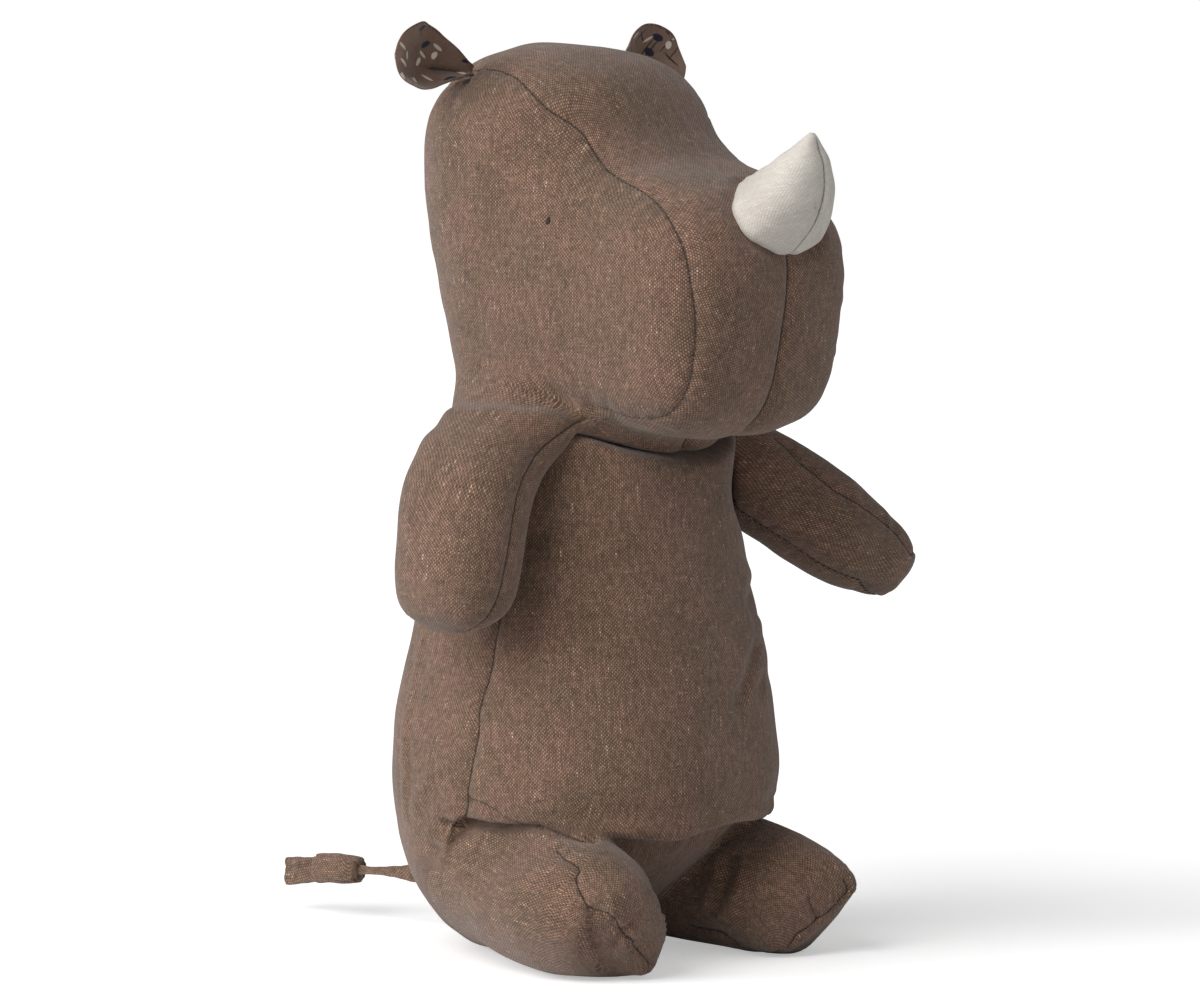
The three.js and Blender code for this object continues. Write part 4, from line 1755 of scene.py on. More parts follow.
@dataclass
class BodyAndLegs(SewnPiece):
    """The body and the two legs, one skin that sits flat on the floor."""

    form: BodyAndLegsForm
    cell: float = 1.25
    box: Table = ((-80.0, -84.0, -4.0), (80.0, 76.0, 206.0))  # two corners of a box round it
    side_seam: Table = (
        (20, 96), (40, 89), (54.5, 86.6), (59.7, 85), (65.5, 85), (71.3, 84), (78.3, 82.9), (84.5, 81.6),
        (90.7, 81.8), (96.4, 81.7), (102.6, 79.9), (109, 78.5), (122, 77.7), (129, 76.9), (150, 76.3),
        (190, 76.5),
    )  # height, and bearing in degrees
    side_seam_ends: Pair = (52.0, 188.0)
    back_seam: Table = ((188, -1), (150, 1), (110, 0.5), (70, -0.5), (35, 0.5), (12, 0))  # height and side
    closing: Pair = (128.0, 72.0)  # heights of the part of it that is closed by hand
    leg_middles: Pair = (0.0, 60.0)  # where the middle of each leg's cloth lies, in degrees
    leg_start: Pair = (0.0, 60.0)  # where that cloth starts on the body's
    leg_blend: Pair = (0.3, 0.7)  # a leg's shares between which its cloth takes over
    lowest: float = 50.0  # height below which the cloth no longer narrows
    apart: float = 300.0  # between the panels
    toe_star: Triple = (-55.1, 69.4, 19.4)  # where the right toe is gathered to a point

    def on_torso(self, bearing: Array, height: Array) -> Array:
        """Points near the body's surface at bearings in degrees and heights."""
        half_width, half_depth, shift = along(self.form.torso.sections, height).T
        turn = np.radians(bearing)
        back = -half_depth * np.cos(turn) - shift * np.abs(np.cos(turn))
        return np.stack([half_width * np.sin(turn), back, height], axis=1)

    def seams(self) -> dict[str, Seam]:
        """The seams of the body and legs, by name."""
        right, left = self.form.legs
        height = np.linspace(*self.side_seam_ends[::-1], 30)
        side = along(self.side_seam, height)[:, 0]
        back_height = np.array([row[0] for row in self.back_seam], float)
        back = self.on_torso(180 - np.array([row[1] for row in self.back_seam]), back_height)
        top = (
            (-62, 44.1, 47.7), (-63.9, 49.5, 45.4), (-64.1, 53.8, 44), (-64.5, 57.6, 41.9),
            (-66.5, 57.8, 39.7), (-67.9, 59.8, 36.5), (-68.3, 62.7, 32.9), (-67.8, 65.2, 28.9),
        )
        toe = (
            (-67, 65.6, 28), (-62.9, 69.3, 25.9), (-60.1, 70.7, 24), (-56.9, 70.1, 21.5), self.toe_star,
            (-49.9, 68.9, 15.8), (-43.2, 67.6, 10.2), (-37.2, 66.4, 6.2), (-36.5, 65.1, 2),
        )
        sole = (
            (25.7, 28.5, 9.4), (27, 35.2, 8.6), (27.8, 42.3, 8.1), (30.9, 45.5, 5.4), (35.3, 47.2, 2.4),
            (36.5, 58, 1.2), (36.3, 66.2, 3.7), (38.7, 69.8, 9.1), (45.5, 73, 13.1), (50.9, 76.7, 18.2),
            (52.8, 79.4, 22.1), (53.9, 80.8, 24.6), (52.9, 80.3, 28.4),
        )
        dart = (
            (-69, 7, 63), (-67.9, 13.7, 61.5), (-66.3, 18.7, 59.1), (-64.4, 22.3, 56.9), (-62, 26.7, 55.4),
        )
        left_dart = ((40.1, 73.4, 22.2), (42.2, 73.7, 17.9), (44.7, 73.7, 14.3))
        return {
            "side_right": Seam(
                self.on_torso(-side, height), depth=0.8, roll=0.7, pucker=0.45, dark=(0.7, 1.0), seed=8),
            "side_left": Seam(
                self.on_torso(side, height), depth=0.8, roll=0.7, pucker=0.45, dark=(0.7, 1.0), seed=9),
            "back": Seam(back, depth=0.9, roll=0.9, pucker=0.5, pucker_pitch=5.0, seed=10),
            "leg_right": Seam(
                spots(top), depth=0.8, roll=0.5, pucker=0.2, pucker_pitch=5.0, dark=(0.8, 1.0, 1.0), seed=11),
            "toe_right": Seam(
                spots(toe), depth=0.9, roll=0.8, pucker=0.5, pucker_pitch=4.0, dark=(0.5, 1.0, 1.0), seed=12),
            "under_right": Seam(right.line(180, 0.35, 0.97), depth=0.7, roll=0.4, seed=13),
            "top_left": Seam(left.line(0, 0.3, 0.99), depth=0.7, roll=0.4, dark=(0.4, 1.0), seed=14),
            "sole_left": Seam(spots(sole), depth=0.8, roll=0.6, pucker=0.45, pucker_pitch=5.0, seed=15),
            "dart_right": Seam(
                spots(dart), depth=0.4, width=0.9, roll=0.2, pucker=0.1, dark=(0.7, 0.5), seed=16),
            "dart_left": Seam(
                spots(left_dart), depth=1.1, width=1.0, roll=0.3, pucker=0.1, dark=(0.6, 0.8), seed=17),
        }

    def creases(self) -> dict[str, Seam]:
        """Where the belly's lower edge lies on the thighs: grooves made as seams, whose dark line is painted
        shade in the crease.
        """
        right = (
            (-64, -6, 53.2), (-63, 3.2, 53.3), (-62.1, 9.7, 53.2), (-62, 14.6, 52), (-60.8, 23.8, 52.4),
            (-59.7, 31.1, 53.5), (-57.1, 38.9, 53), (-54.5, 44.8, 52.4), (-50.5, 51.5, 50.6),
        )
        left = (
            (33, 48, 49.4), (40.5, 46, 49.6), (46, 41, 50.2), (54, 31, 51.5), (60, 18, 52.5), (63, 5, 53.3),
        )
        # the dark values of these creases are painted shade under the belly's edge, not a sewn line
        return {
            "lap_right": Seam(
                spots(right), depth=2.0, width=1.4, roll=1.3, roll_width=3.6, dark=(0.3, 0.85), seed=18),
            "lap_left": Seam(
                spots(left), depth=2.0, width=1.4, roll=1.3, roll_width=3.6, dark=(0.85, 0.3), seed=19),
        }

    def folds(self) -> list[Fold]:
        """Where the stuffed cloth bends without a seam."""
        hip_upper = (
            (-66.7, -13.8, 51.1), (-67.7, -6.8, 50.7), (-66.6, -2.9, 51), (-64.2, -0.2, 51.7),
            (-63, 3.1, 52.9),
        )
        hip_lower = (
            (-64.8, -17.2, 42.3), (-66.2, -10.3, 43.8), (-65.2, -4.4, 45.6), (-64.3, -0.1, 47.7),
            (-63.3, 3.9, 50.5),
        )
        hip_ridge = ((-68.8, -9.6, 72.2), (-68.4, -13.6, 66.8), (-67.2, -18.3, 62.1), (-64.2, -26.4, 54.8))
        flank_ridge = (
            (-55.9, -28.5, 120.5), (-59.9, -28.5, 98.9), (-60.7, -30.4, 90.7), (-63, -29.7, 79.3),
            (-64.3, -28.5, 65.1), (-61.5, -30.9, 50.2),
        )
        flank_upper = (
            (32, 56.3, 116.5), (23.4, 61.1, 109.5), (15.2, 64.6, 99.3), (9.4, 66.1, 94.9), (5.9, 67, 90.8),
        )
        flank_lower = ((33.9, 56.9, 104.5), (26.2, 61.5, 98.2), (23.8, 62.9, 94.7))
        waist = ((44, 42, 129), (34, 51, 130), (24, 58, 128))
        belly = ((-19.3, 65.5, 58.8), (-21.1, 64.2, 53.4), (-20.2, 60.9, 50))
        bulge = ((48, 36, 116), (42, 46, 112), (36, 53, 108), (33, 56, 102))
        crotch_right = ((-33, 50, 45), (-24, 53, 38), (-19, 51, 30), (-17, 47, 22), (-17, 41, 14))
        crotch_left = ((28, 47, 46), (21, 49, 38), (17, 49, 29), (15, 46, 20), (14, 41, 12))
        lap = ((-6, 56, 44), (-3, 54, 36), (-1, 51, 27), (0, 47, 18))
        corner = ((41.1, 48.5, 50.1), (36.8, 56.6, 54.1), (47, 50, 57))
        armpit = ((-50.3, 22.8, 169.4), (-51, 27.4, 159), (-51.6, 28.9, 153.4), (-51.2, 31.9, 148.6))
        left_armpit = ((52, 20, 170), (46, 34, 170), (38, 44, 169), (28, 51, 168), (18, 55, 168))
        star_up = (self.toe_star, (-52.1, 71.6, 22.5), (-49.4, 72.3, 24.8))
        star_down = (self.toe_star, (-54.5, 65.5, 16), (-53.6, 62.3, 13.2))
        return folds_of(
            (hip_upper, 1.9, 2.8), (hip_lower, 1.3, 2.8), (hip_ridge, -1.0, 3.0), (flank_ridge, -0.8, 2.5),
            (flank_upper, 1.6, 3.6), (flank_lower, 1.1, 3.0), (waist, 2.6, 4.6), (bulge, -0.9, 5.0, 0.2),
            (belly, 0.9, 2.5), (crotch_right, 2.6, 2.8), (crotch_left, 2.4, 2.6), (lap, -1.0, 3.0),
            (corner, 1.0, 1.5), (armpit, 4.0, 10.0, 0.0), (left_armpit, 3.6, 12.0, 0.0), (star_up, 1.3, 1.6),
            (star_down, 1.3, 1.6),
        )

    def build(self) -> None:
        """Makes the skin, sews it and lays its folds."""
        self.skin = stuffed_skin(self.form, *np.array(self.box), self.cell)
        self.skin.ripple(height=0.6, wavelength=45.0, seed=21)
        self.skin.ripple(height=0.25, wavelength=16.0, seed=22)
        # the lap creases are sewn like seams, with a dark line of painted shade
        self.sew(self.seams() | self.creases())
        self.skin.fold(self.folds())
        self.skin.dimple(spot(*self.toe_star), depth=1.0, width=2.4)
        self.skin.shaped[:, 2] = np.maximum(self.skin.shaped[:, 2], 0.0)

    def panel_of(self, points: Array) -> Array:
        """The cloth panel at each point."""
        _, shares = self.form.shares(points)
        bearing = np.abs(np.degrees(flat_bearing(points)))
        front = bearing < along(self.side_seam, points[:, 2])[:, 0]
        back = np.where(points[:, 0] > 0, BodyPanel.BACK_LEFT, BodyPanel.BACK_RIGHT)
        panel = np.where(front, BodyPanel.FRONT, back)
        for leg, share in zip(LEG_PANELS, shares, strict=True):
            panel = np.where(share > 0.5, leg, panel)
        return panel

    def places(self, points: Array, panel: int) -> Array:
        """Where points lie in a cloth panel."""
        radius, _, shift = along(self.form.torso.sections, np.maximum(points[:, 2], self.lowest)).T
        if panel in BACK_PANELS:
            bearing = np.arctan2(-points[:, 0], points[:, 1] + shift)
        else:
            bearing = flat_bearing(points, shift)
        place = np.stack([radius * bearing, points[:, 2]], axis=1)
        _, shares = self.form.shares(points)
        legs = zip(LEG_PANELS, self.form.legs, shares, self.leg_middles, strict=True)
        for number, leg, share, middle in legs:
            own = leg.flat(leg.place(points), middle) * (1, -1) + self.leg_start
            weight = float(panel == number) if panel in LEG_PANELS else ramp(share, *self.leg_blend)[:, None]
            place = place + (own - place) * weight
        return place + self.apart * panel

    def finish(self, wardrobe: Wardrobe) -> Object:
        """Makes the piece."""
        made = self.skin.finish("body_and_legs", self.panel_of, self.places, wardrobe.brown)
        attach(made, BODY)
        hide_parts("torso", "leg_right", "leg_left")
        return made


# ------------------------------------------------------------------ rolled pieces


@dataclass
class RolledCloth:
    """A closed skin of rings of points, with a place in the cloth for every point of every ring."""

    rings: Array  # by ring, column and axis
    places: Array  # by ring, column and axis, with one more column where the cloth meets itself

    def faces(self) -> tuple[list[tuple[int, ...]], list[Array], list[tuple[int, int]]]:
        """Joins the rings and closes both ends.

        Returns:
            The point numbers of each face, the places of its corners, and its ring and column.
        """
        count, columns = self.rings.shape[:2]
        last = count - 1
        first_pole, last_pole = count * columns, count * columns + 1
        faces, corners, cells = [], [], []
        for j in range(columns):
            k = (j + 1) % columns
            for i in range(last):
                faces.append((i * columns + j, i * columns + k, (i + 1) * columns + k, (i + 1) * columns + j))
                corners.extend([self.places[i, j], self.places[i, j + 1], self.places[i + 1, j + 1],
                                self.places[i + 1, j]])
                cells.append((i, j))
            faces.append((first_pole, k, j))
            corners.extend([self.places[0].mean(axis=0), self.places[0, j + 1], self.places[0, j]])
            cells.append((0, j))
            faces.append((last_pole, last * columns + j, last * columns + k))
            corners.extend([self.places[last].mean(axis=0), self.places[last, j], self.places[last, j + 1]])
            cells.append((last, j))
        return faces, corners, cells

    def make(self, name: str, finishes: list[Material], signed: Array | None = None,
             darkness: Array | None = None, finish_of: Callable[[int, int], int] | None = None) -> Object:
        """Makes the piece.

        Args:
            name: its name.
            finishes: its materials.
            signed: distance of each ring's points from a seam.
            darkness: how dark that seam is.
            finish_of: the material's number for a ring and column; the first if it isn't given.

        Returns:
            The piece.
        """
        points = np.concatenate([self.rings.reshape(-1, 3), self.rings[[0, -1]].mean(axis=1)])
        faces, corners, cells = self.faces()
        triangles = np.array([
            (face[0], face[i], face[i + 1]) for face in faces for i in range(1, len(face) - 1)])
        a, b, c = points[triangles[:, 0]], points[triangles[:, 1]], points[triangles[:, 2]]
        if (a * np.cross(b, c)).sum() < 0:
            sizes = np.array([len(face) for face in faces])
            starts = np.r_[0, np.cumsum(sizes)[:-1]]
            corners = [
                corners[start + size - 1 - n] for start, size in zip(starts, sizes) for n in range(size)]
            faces = [face[::-1] for face in faces]
        made = make_object(name, make_mesh(name, points, faces))
        distance, dark = np.full(len(points), FAR), np.zeros(len(points))
        if signed is not None:
            distance[:-2], dark[:-2] = signed.ravel(), darkness.ravel()
        dress(made, np.array(corners), {SEAM_MARK: distance, SEAM_DARK_AND_CREASE_SHADE_MARK: dark}, finishes)
        if finish_of is not None:
            made.data.polygons.foreach_set("material_index", [finish_of(*cell) for cell in cells])
        return made


def limb_rings(limb: LimbForm, run: Array, angle: Array) -> tuple[Array, Array]:
    """Rings round a limb.

    Args:
        limb: the limb.
        run: the distance along it of each point, by ring and column.
        angle: the angle of each point or of each column, in radians.

    Returns:
        The points and their outward directions, by ring and column.
    """
    found = limb.at(run.ravel())
    points = limb.rim(found, np.broadcast_to(angle, run.shape).ravel())
    outward = unit(limb.slope(points)[1])
    return points.reshape(*run.shape, 3), outward.reshape(*run.shape, 3)


@dataclass
class Horn:
    """The pale stuffed horn, sewn on to the muzzle, with its own seam down the front."""

    head: HeadForm
    form: LimbForm = field(default_factory=lambda: HORN)
    columns: int = 150
    rings: int = 66
    sunk: float = 5.0  # how deep its raw edge is hidden
    buried: int = 4  # rings of it
    front: float = -90.0  # where its seam starts and ends, in degrees round it
    twist: float = math.radians(12)  # how far it strays on the way up
    base: Table = (
        (0, 101.2, 255.8), (5, 101, 256.6), (10, 100.6, 258.3), (15.4, 99.9, 260.6), (19.5, 98.8, 263),
        (21.9, 97.3, 265.8), (22.8, 94.7, 269.7), (21.8, 91.3, 273.8), (18.8, 88.2, 276.8), (12.8, 84, 280),
        (6, 79.4, 282.6), (0, 76.6, 283.6),
    )  # side, forward and height of the line where it meets the head, from the front up one side
    inside: Triple = (0.0, 82.0, 262.0)
    foot_depth: float = 0.9  # of the groove where it meets the head
    foot_wave: float = 0.14  # how much its foot puckers
    seam_depth: float = 0.5
    seam_roll: float = 0.6
    seam_dark: float = 0.85
    uneven: float = 0.25
    signed: Array = field(init=False)  # each point's distance from the seam
    darkness: Array = field(init=False)  # how dark the seam is there

    def foot_ring(self) -> Array:
        """The line where the horn meets the head."""
        half = curve_through(spots(self.base), 0.8)
        return self.head.settle(np.concatenate([half * (-1, 1, 1), half[-2::-1]]), 4)

    def build(self) -> RolledCloth:
        """Rolls, sews and stuffs the horn."""
        turned = np.linspace(0, 2 * math.pi, self.columns, endpoint=False)
        angle = math.radians(self.front) + turned
        ring = self.foot_ring()[:-1]
        at = self.form.place(ring)
        known = np.c_[ring, at.run]
        bearing, known_bearing = np.degrees(angle), at.angle()
        *foot, start = (np.interp(bearing, known_bearing, column, period=360) for column in known.T)
        foot = np.stack(foot, axis=1)
        share = np.linspace(0, 1, self.rings)[:, None]
        run = start + (self.form.run[-1] - start) * share
        twist = self.twist * np.sin(math.pi * share**2.6)
        points, outward = limb_rings(self.form, run, angle + twist)
        off = foot - self.form.rim(self.form.at(start), angle)
        points = points + off * ((1 - share) ** 1.6)[..., None]
        radius = self.form.at(run.ravel())[:, 12:14].mean(axis=1).reshape(run.shape)
        aside = np.minimum(turned, 2 * math.pi - turned) * radius
        clear = run - start
        wave = drift(np.stack([np.cos(angle), np.sin(angle)], axis=1) * 20, 5.5, 31)
        inward = (
            self.foot_depth * hump(clear, 1.2)
            + self.foot_wave * wave * hump(clear - 1, 3.5)
            + (self.seam_depth * hump(aside, 0.9) + self.seam_roll * hump(aside, 3.5)) * ramp(radius, 1, 6)
            + self.uneven * drift(points.reshape(-1, 3), 13.0, 32).reshape(run.shape) * ramp(radius, 1, 8)
        )
        points = points - outward * inward[..., None]
        down = self.sunk * np.linspace(1, 0, self.buried, endpoint=False)[:, None, None]
        hidden = points[:1] + unit(spot(*self.inside) - points[0])[None] * down
        points, run = np.concatenate([hidden, points]), np.concatenate([run[:1] - down[..., 0], run])
        aside, radius = (np.concatenate([values[:1]] * self.buried + [values]) for values in (aside, radius))
        around = np.concatenate([turned, [2 * math.pi]])
        places = np.stack(np.broadcast_arrays(
            (around - math.pi) * radius.mean(axis=1)[:, None] + 40, np.c_[run, run[:, :1]]), axis=-1)
        self.signed = np.where(turned < math.pi, aside, -aside)
        self.darkness = self.seam_dark * (1 - ramp(aside, *DARK_REACH)) * ramp(radius, 1, 4)
        return RolledCloth(points, places)

    def finish(self, wardrobe: Wardrobe) -> Object:
        """Makes the piece."""
        cloth = self.build()
        made = cloth.make("stuffed_horn", [wardrobe.pale], self.signed, self.darkness)
        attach(made, BODY)
        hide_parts("horn")
        return made


@dataclass
class Ear:
    """A cupped ear of two layers, printed inside and brown behind, pinched where it is sewn into the seam."""

    side: int
    base: Triple = (38.0, -21.0, 321.2)
    rise: float = 0.15  # how much it climbs for each millimetre outwards
    length: float = 39.5
    curl: float = 0.6  # how far forward its tip leans
    hollow: float = 6.5  # how far back its middle bows
    shape: Table = (
        (0, 2.8, 1.4), (3.5, 4.6, 2.2), (7, 7.2, 3.6), (10.5, 9.8, 5.2), (14.5, 12.2, 7.4), (19, 14.3, 9.6),
        (24.5, 15.5, 11.2), (29, 15.6, 12), (33, 14.2, 12), (36.4, 10.6, 12), (38.8, 5, 12), (39.5, 1, 12),
    )  # distance along it, half width of the flat cloth, and radius of its bend
    slack: Pair = (1.42, 0.88)  # how widely the upper half bends, and the lower one
    pleat: float = 2.6
    pleats: Table = ((1.2, 1.5, 1, 5, 12, 27, -1), (5.2, 1.7, 4, 8, 14, 22, 0.6))
    # how far below the middle each lies, its width, where it starts, is full, fades and ends, and its share
    most_bend: float = 2.3  # radians
    uneven: float = 0.45
    thickness: float = 1.7
    rim: float = 0.94
    columns: int = 32
    rings: int = 60
    seed: int = 51
    apart: Pair = (700.0, 90.0)  # where its cloth is on the roll, and the step to the next

    def middle(self, distance: Array, across: Array) -> Array:
        """Points of the ear's middle layer.

        Args:
            distance: how far along the ear.
            across: from -1 at its lower rim to 1 at its upper one.

        Returns:
            Points of the toy's frame.
        """
        half, bend = along(self.shape, distance.ravel()).T.reshape(2, *distance.shape)
        bend = bend * np.where(across > 0, *self.slack)
        turn = np.clip(across * half / bend, -self.most_bend, self.most_bend)
        up = bend * np.sin(turn)
        forward = bend * (1 - np.cos(turn)) + self.curl * (distance / self.length) ** 3
        forward = forward - self.hollow * np.sin(math.pi * np.clip(distance / self.length, 0, 1)) ** 2
        for below, width, starts, full, fades, ends, share in self.pleats:
            near = hump(across * half + below, width) * ramp(distance, starts, full)
            forward = forward + share * self.pleat * (near * (1 - ramp(distance, fades, ends)))
        flat = np.stack([distance.ravel(), (across * half).ravel()], axis=1)
        waves = drift(flat, 12.0, self.seed).reshape(distance.shape)
        forward = forward + self.uneven * waves * ramp(distance, 4, 12)
        out = distance / math.hypot(1, self.rise)
        side, front, height = self.base
        place = (self.side * (side + out - self.rise * up), -(front + forward), height + self.rise * out + up)
        return np.stack(place, axis=-1)

    def build(self) -> RolledCloth:
        """Makes both layers as one closed skin."""
        turn = (np.arange(2 * self.columns) + 0.5) / self.columns * math.pi
        across, layer = -np.cos(turn), np.sign(np.sin(turn))
        distance = self.length * (1 - (1 - np.linspace(0, 1, self.rings)) ** 1.5)
        distance, across = np.broadcast_arrays(distance[:, None], across[None])
        points = self.middle(distance, across)
        step = 0.01
        lengthwise = (self.middle(distance + step, across) - self.middle(distance - step, across)) / step
        crosswise = (self.middle(distance, across + step) - self.middle(distance, across - step)) / step
        normal = self.side * unit(np.cross(lengthwise, crosswise))
        half = self.thickness / 2 * np.sqrt(np.maximum(0, 1 - across**2)) * (0.35 + 0.65 * ramp(
            self.length - distance, 0, 5))
        points = points + normal * (half * layer)[..., None]
        flat = along(self.shape, distance[:, 0])[:, :1]
        places = np.stack([distance, across * flat], axis=-1) + self.apart[0] + self.apart[1] * self.side
        return RolledCloth(points, np.concatenate([places, places[:, :1]], axis=1))

    def finish(self, wardrobe: Wardrobe) -> Object:
        """Makes the piece."""
        name = "ear_left" if self.side > 0 else "ear_right"
        columns, rim = self.columns, self.rim

        def finish_of(ring: int, column: int) -> int:
            """1 for the printed front, 0 for the back and the rim."""
            middle = -math.cos((column + 1) / columns * math.pi)
            return int(column < columns - 1 and abs(middle) < rim and ring < self.rings - 3)

        made = self.build().make(f"cupped_{name}", [wardrobe.brown, wardrobe.printed], finish_of=finish_of)
        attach(made, BODY)
        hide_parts(name)
        return made


@dataclass
class Eye:
    """An eye of thread wound into a small oval knot."""

    side: int
    place: Triple
    radii: Triple = (1.0, 1.55, 2.0)  # out of the cheek, along it, and up it
    lean: float = math.radians(-14)
    thread: float = 0.34
    turns: int = 11
    steps: int = 30
    sides: int = 6
    spacing: float = 0.3  # of its points in the cloth's own map
    slant: Pair = (0.25, 1.6)  # start and slope of the winding's slant, in half turns
    swell: Triple = (0.9, 0.12, 17.0)  # size, and depth and speed of its changes

    def winding(self) -> Array:
        """Points along the thread, wound over and over on a changing slant."""
        t = np.linspace(0, 1, self.turns * self.steps)
        around = 2 * math.pi * self.turns * t
        slant = math.pi * (self.slant[0] + self.slant[1] * t)
        a = np.stack([np.cos(around), np.sin(around) * np.cos(slant), np.sin(around) * np.sin(slant)], axis=1)
        size, change, speed = self.swell
        return a * self.radii * (size + change * np.sin(speed * t))[:, None]

    def build(self) -> RolledCloth:
        """Sweeps the thread along its winding."""
        path = self.winding()
        c, s = math.cos(self.lean), math.sin(self.lean)
        path = path @ np.array([[1, 0, 0], [0, c, s], [0, -s, c]])
        path = path * (self.side, -1, 1) + spot(self.side * (self.place[0] + 0.1), *self.place[1:])
        tangent = unit(np.gradient(path, axis=0))
        first = unit(np.cross(tangent, path - path.mean(axis=0)))
        second = np.cross(tangent, first)
        turn = np.linspace(0, 2 * math.pi, self.sides, endpoint=False)
        offset = first[:, None] * np.cos(turn)[None, :, None] + second[:, None] * np.sin(turn)[None, :, None]
        rings = path[:, None] + self.thread * offset
        places = np.zeros((len(path), self.sides + 1, 2))
        places[..., 0] = np.arange(len(path))[:, None] * self.spacing
        places[..., 1] = np.arange(self.sides + 1) * self.spacing
        return RolledCloth(rings, places)

    def finish(self, wardrobe: Wardrobe) -> Object:
        """Makes the piece."""
        name = "eye_left" if self.side > 0 else "eye_right"
        made = self.build().make(f"knotted_{name}", [wardrobe.thread])
        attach(made, BODY)
        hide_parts(name)
        return made


@dataclass
class TailPart:
    """A length of the tail: folded linen, pressed flat, tied or cut off."""

    name: str
    node: str
    form: LimbForm
    grooves: Table  # rows of angle in degrees, depth, width, and how far it twists along the part in degrees
    columns: int = 72
    rings: int = 64
    ragged: float = 0.0  # how uneven its last edge is
    uneven: float = 0.22
    seed: int = 61
    apart: Pair = (400.0, 40.0)  # where its cloth is on the roll, and the step to the next

    def build(self) -> RolledCloth:
        """Folds the cloth."""
        angle = np.linspace(0, 2 * math.pi, self.columns, endpoint=False)
        total = self.form.run[-1]
        chance = drift(np.stack([np.cos(angle), np.sin(angle)], axis=1) * 6, 4.0, self.seed)
        run = np.linspace(0, 1, self.rings)[:, None] * total
        run = run - self.ragged * (0.5 + 0.5 * chance) * (run / total) ** 6
        points, outward = limb_rings(self.form, np.clip(run, 0, total) * np.ones((1, self.columns)), angle)
        radius = self.form.at(run.mean(axis=1))[:, 12:14].mean(axis=1)[:, None]
        inward = self.uneven * drift(points.reshape(-1, 3), 7.0, self.seed + 1).reshape(points.shape[:2])
        for degrees, depth, width, twist in self.grooves:
            centre = np.radians(degrees + twist * run / total)
            aside = (angle - centre + math.pi) % (2 * math.pi) - math.pi
            inward = inward + depth * hump(aside * radius, width)
        points = points - outward * inward[..., None]
        around = np.r_[angle, 2 * math.pi]
        places = np.stack(np.broadcast_arrays(around * radius, np.c_[run, run[:, :1]]), axis=-1)
        return RolledCloth(points, places + self.apart[0] + self.apart[1] * self.seed)

    def finish(self, wardrobe: Wardrobe) -> Object:
        """Makes the piece."""
        made = self.build().make(self.name, [wardrobe.brown])
        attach(made, BODY)
        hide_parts(self.node)
        return made


def ears() -> list[Ear]:
    """Both ears; the left one stands more upright."""
    upright = (
        (0, 3, 1.6), (3, 4.6, 3), (6, 7.4, 5), (9, 11, 7.5), (13, 15.2, 10.5), (18, 17.6, 12.5),
        (24, 17.4, 12.5), (29, 14.8, 12), (33, 10.6, 12), (36, 6, 12), (37.6, 2.4, 12), (38.2, 0.8, 12),
    )
    return [Ear(-1), Ear(1, rise=0.04, length=38.2, slack=(2.3, 0.9), shape=upright)]


def tail_parts() -> list[TailPart]:
    """The strap, its knot and the cut end beyond it."""
    return [
        TailPart("folded_strap", "tail_strap", TAIL_STRAP, (
            (-90, 0.45, 0.6, 35), (90, 0.45, 0.6, 30), (-55, -0.25, 0.7, -20)), seed=61),
        TailPart("tied_knot", "tail_knot", TAIL_KNOT, (
            (-42, 0.9, 0.55, 8), (48, 0.8, 0.6, -10), (-150, 0.8, 0.6, 25), (135, 0.7, 0.6, 20)), seed=63),
        TailPart("cut_end", "tail_tip", TAIL_TIP, (
            (-70, 0.35, 0.8, -25), (100, 0.4, 0.8, 20)), ragged=0.8, seed=65),
    ]


# ------------------------------------------------------------------ stitches


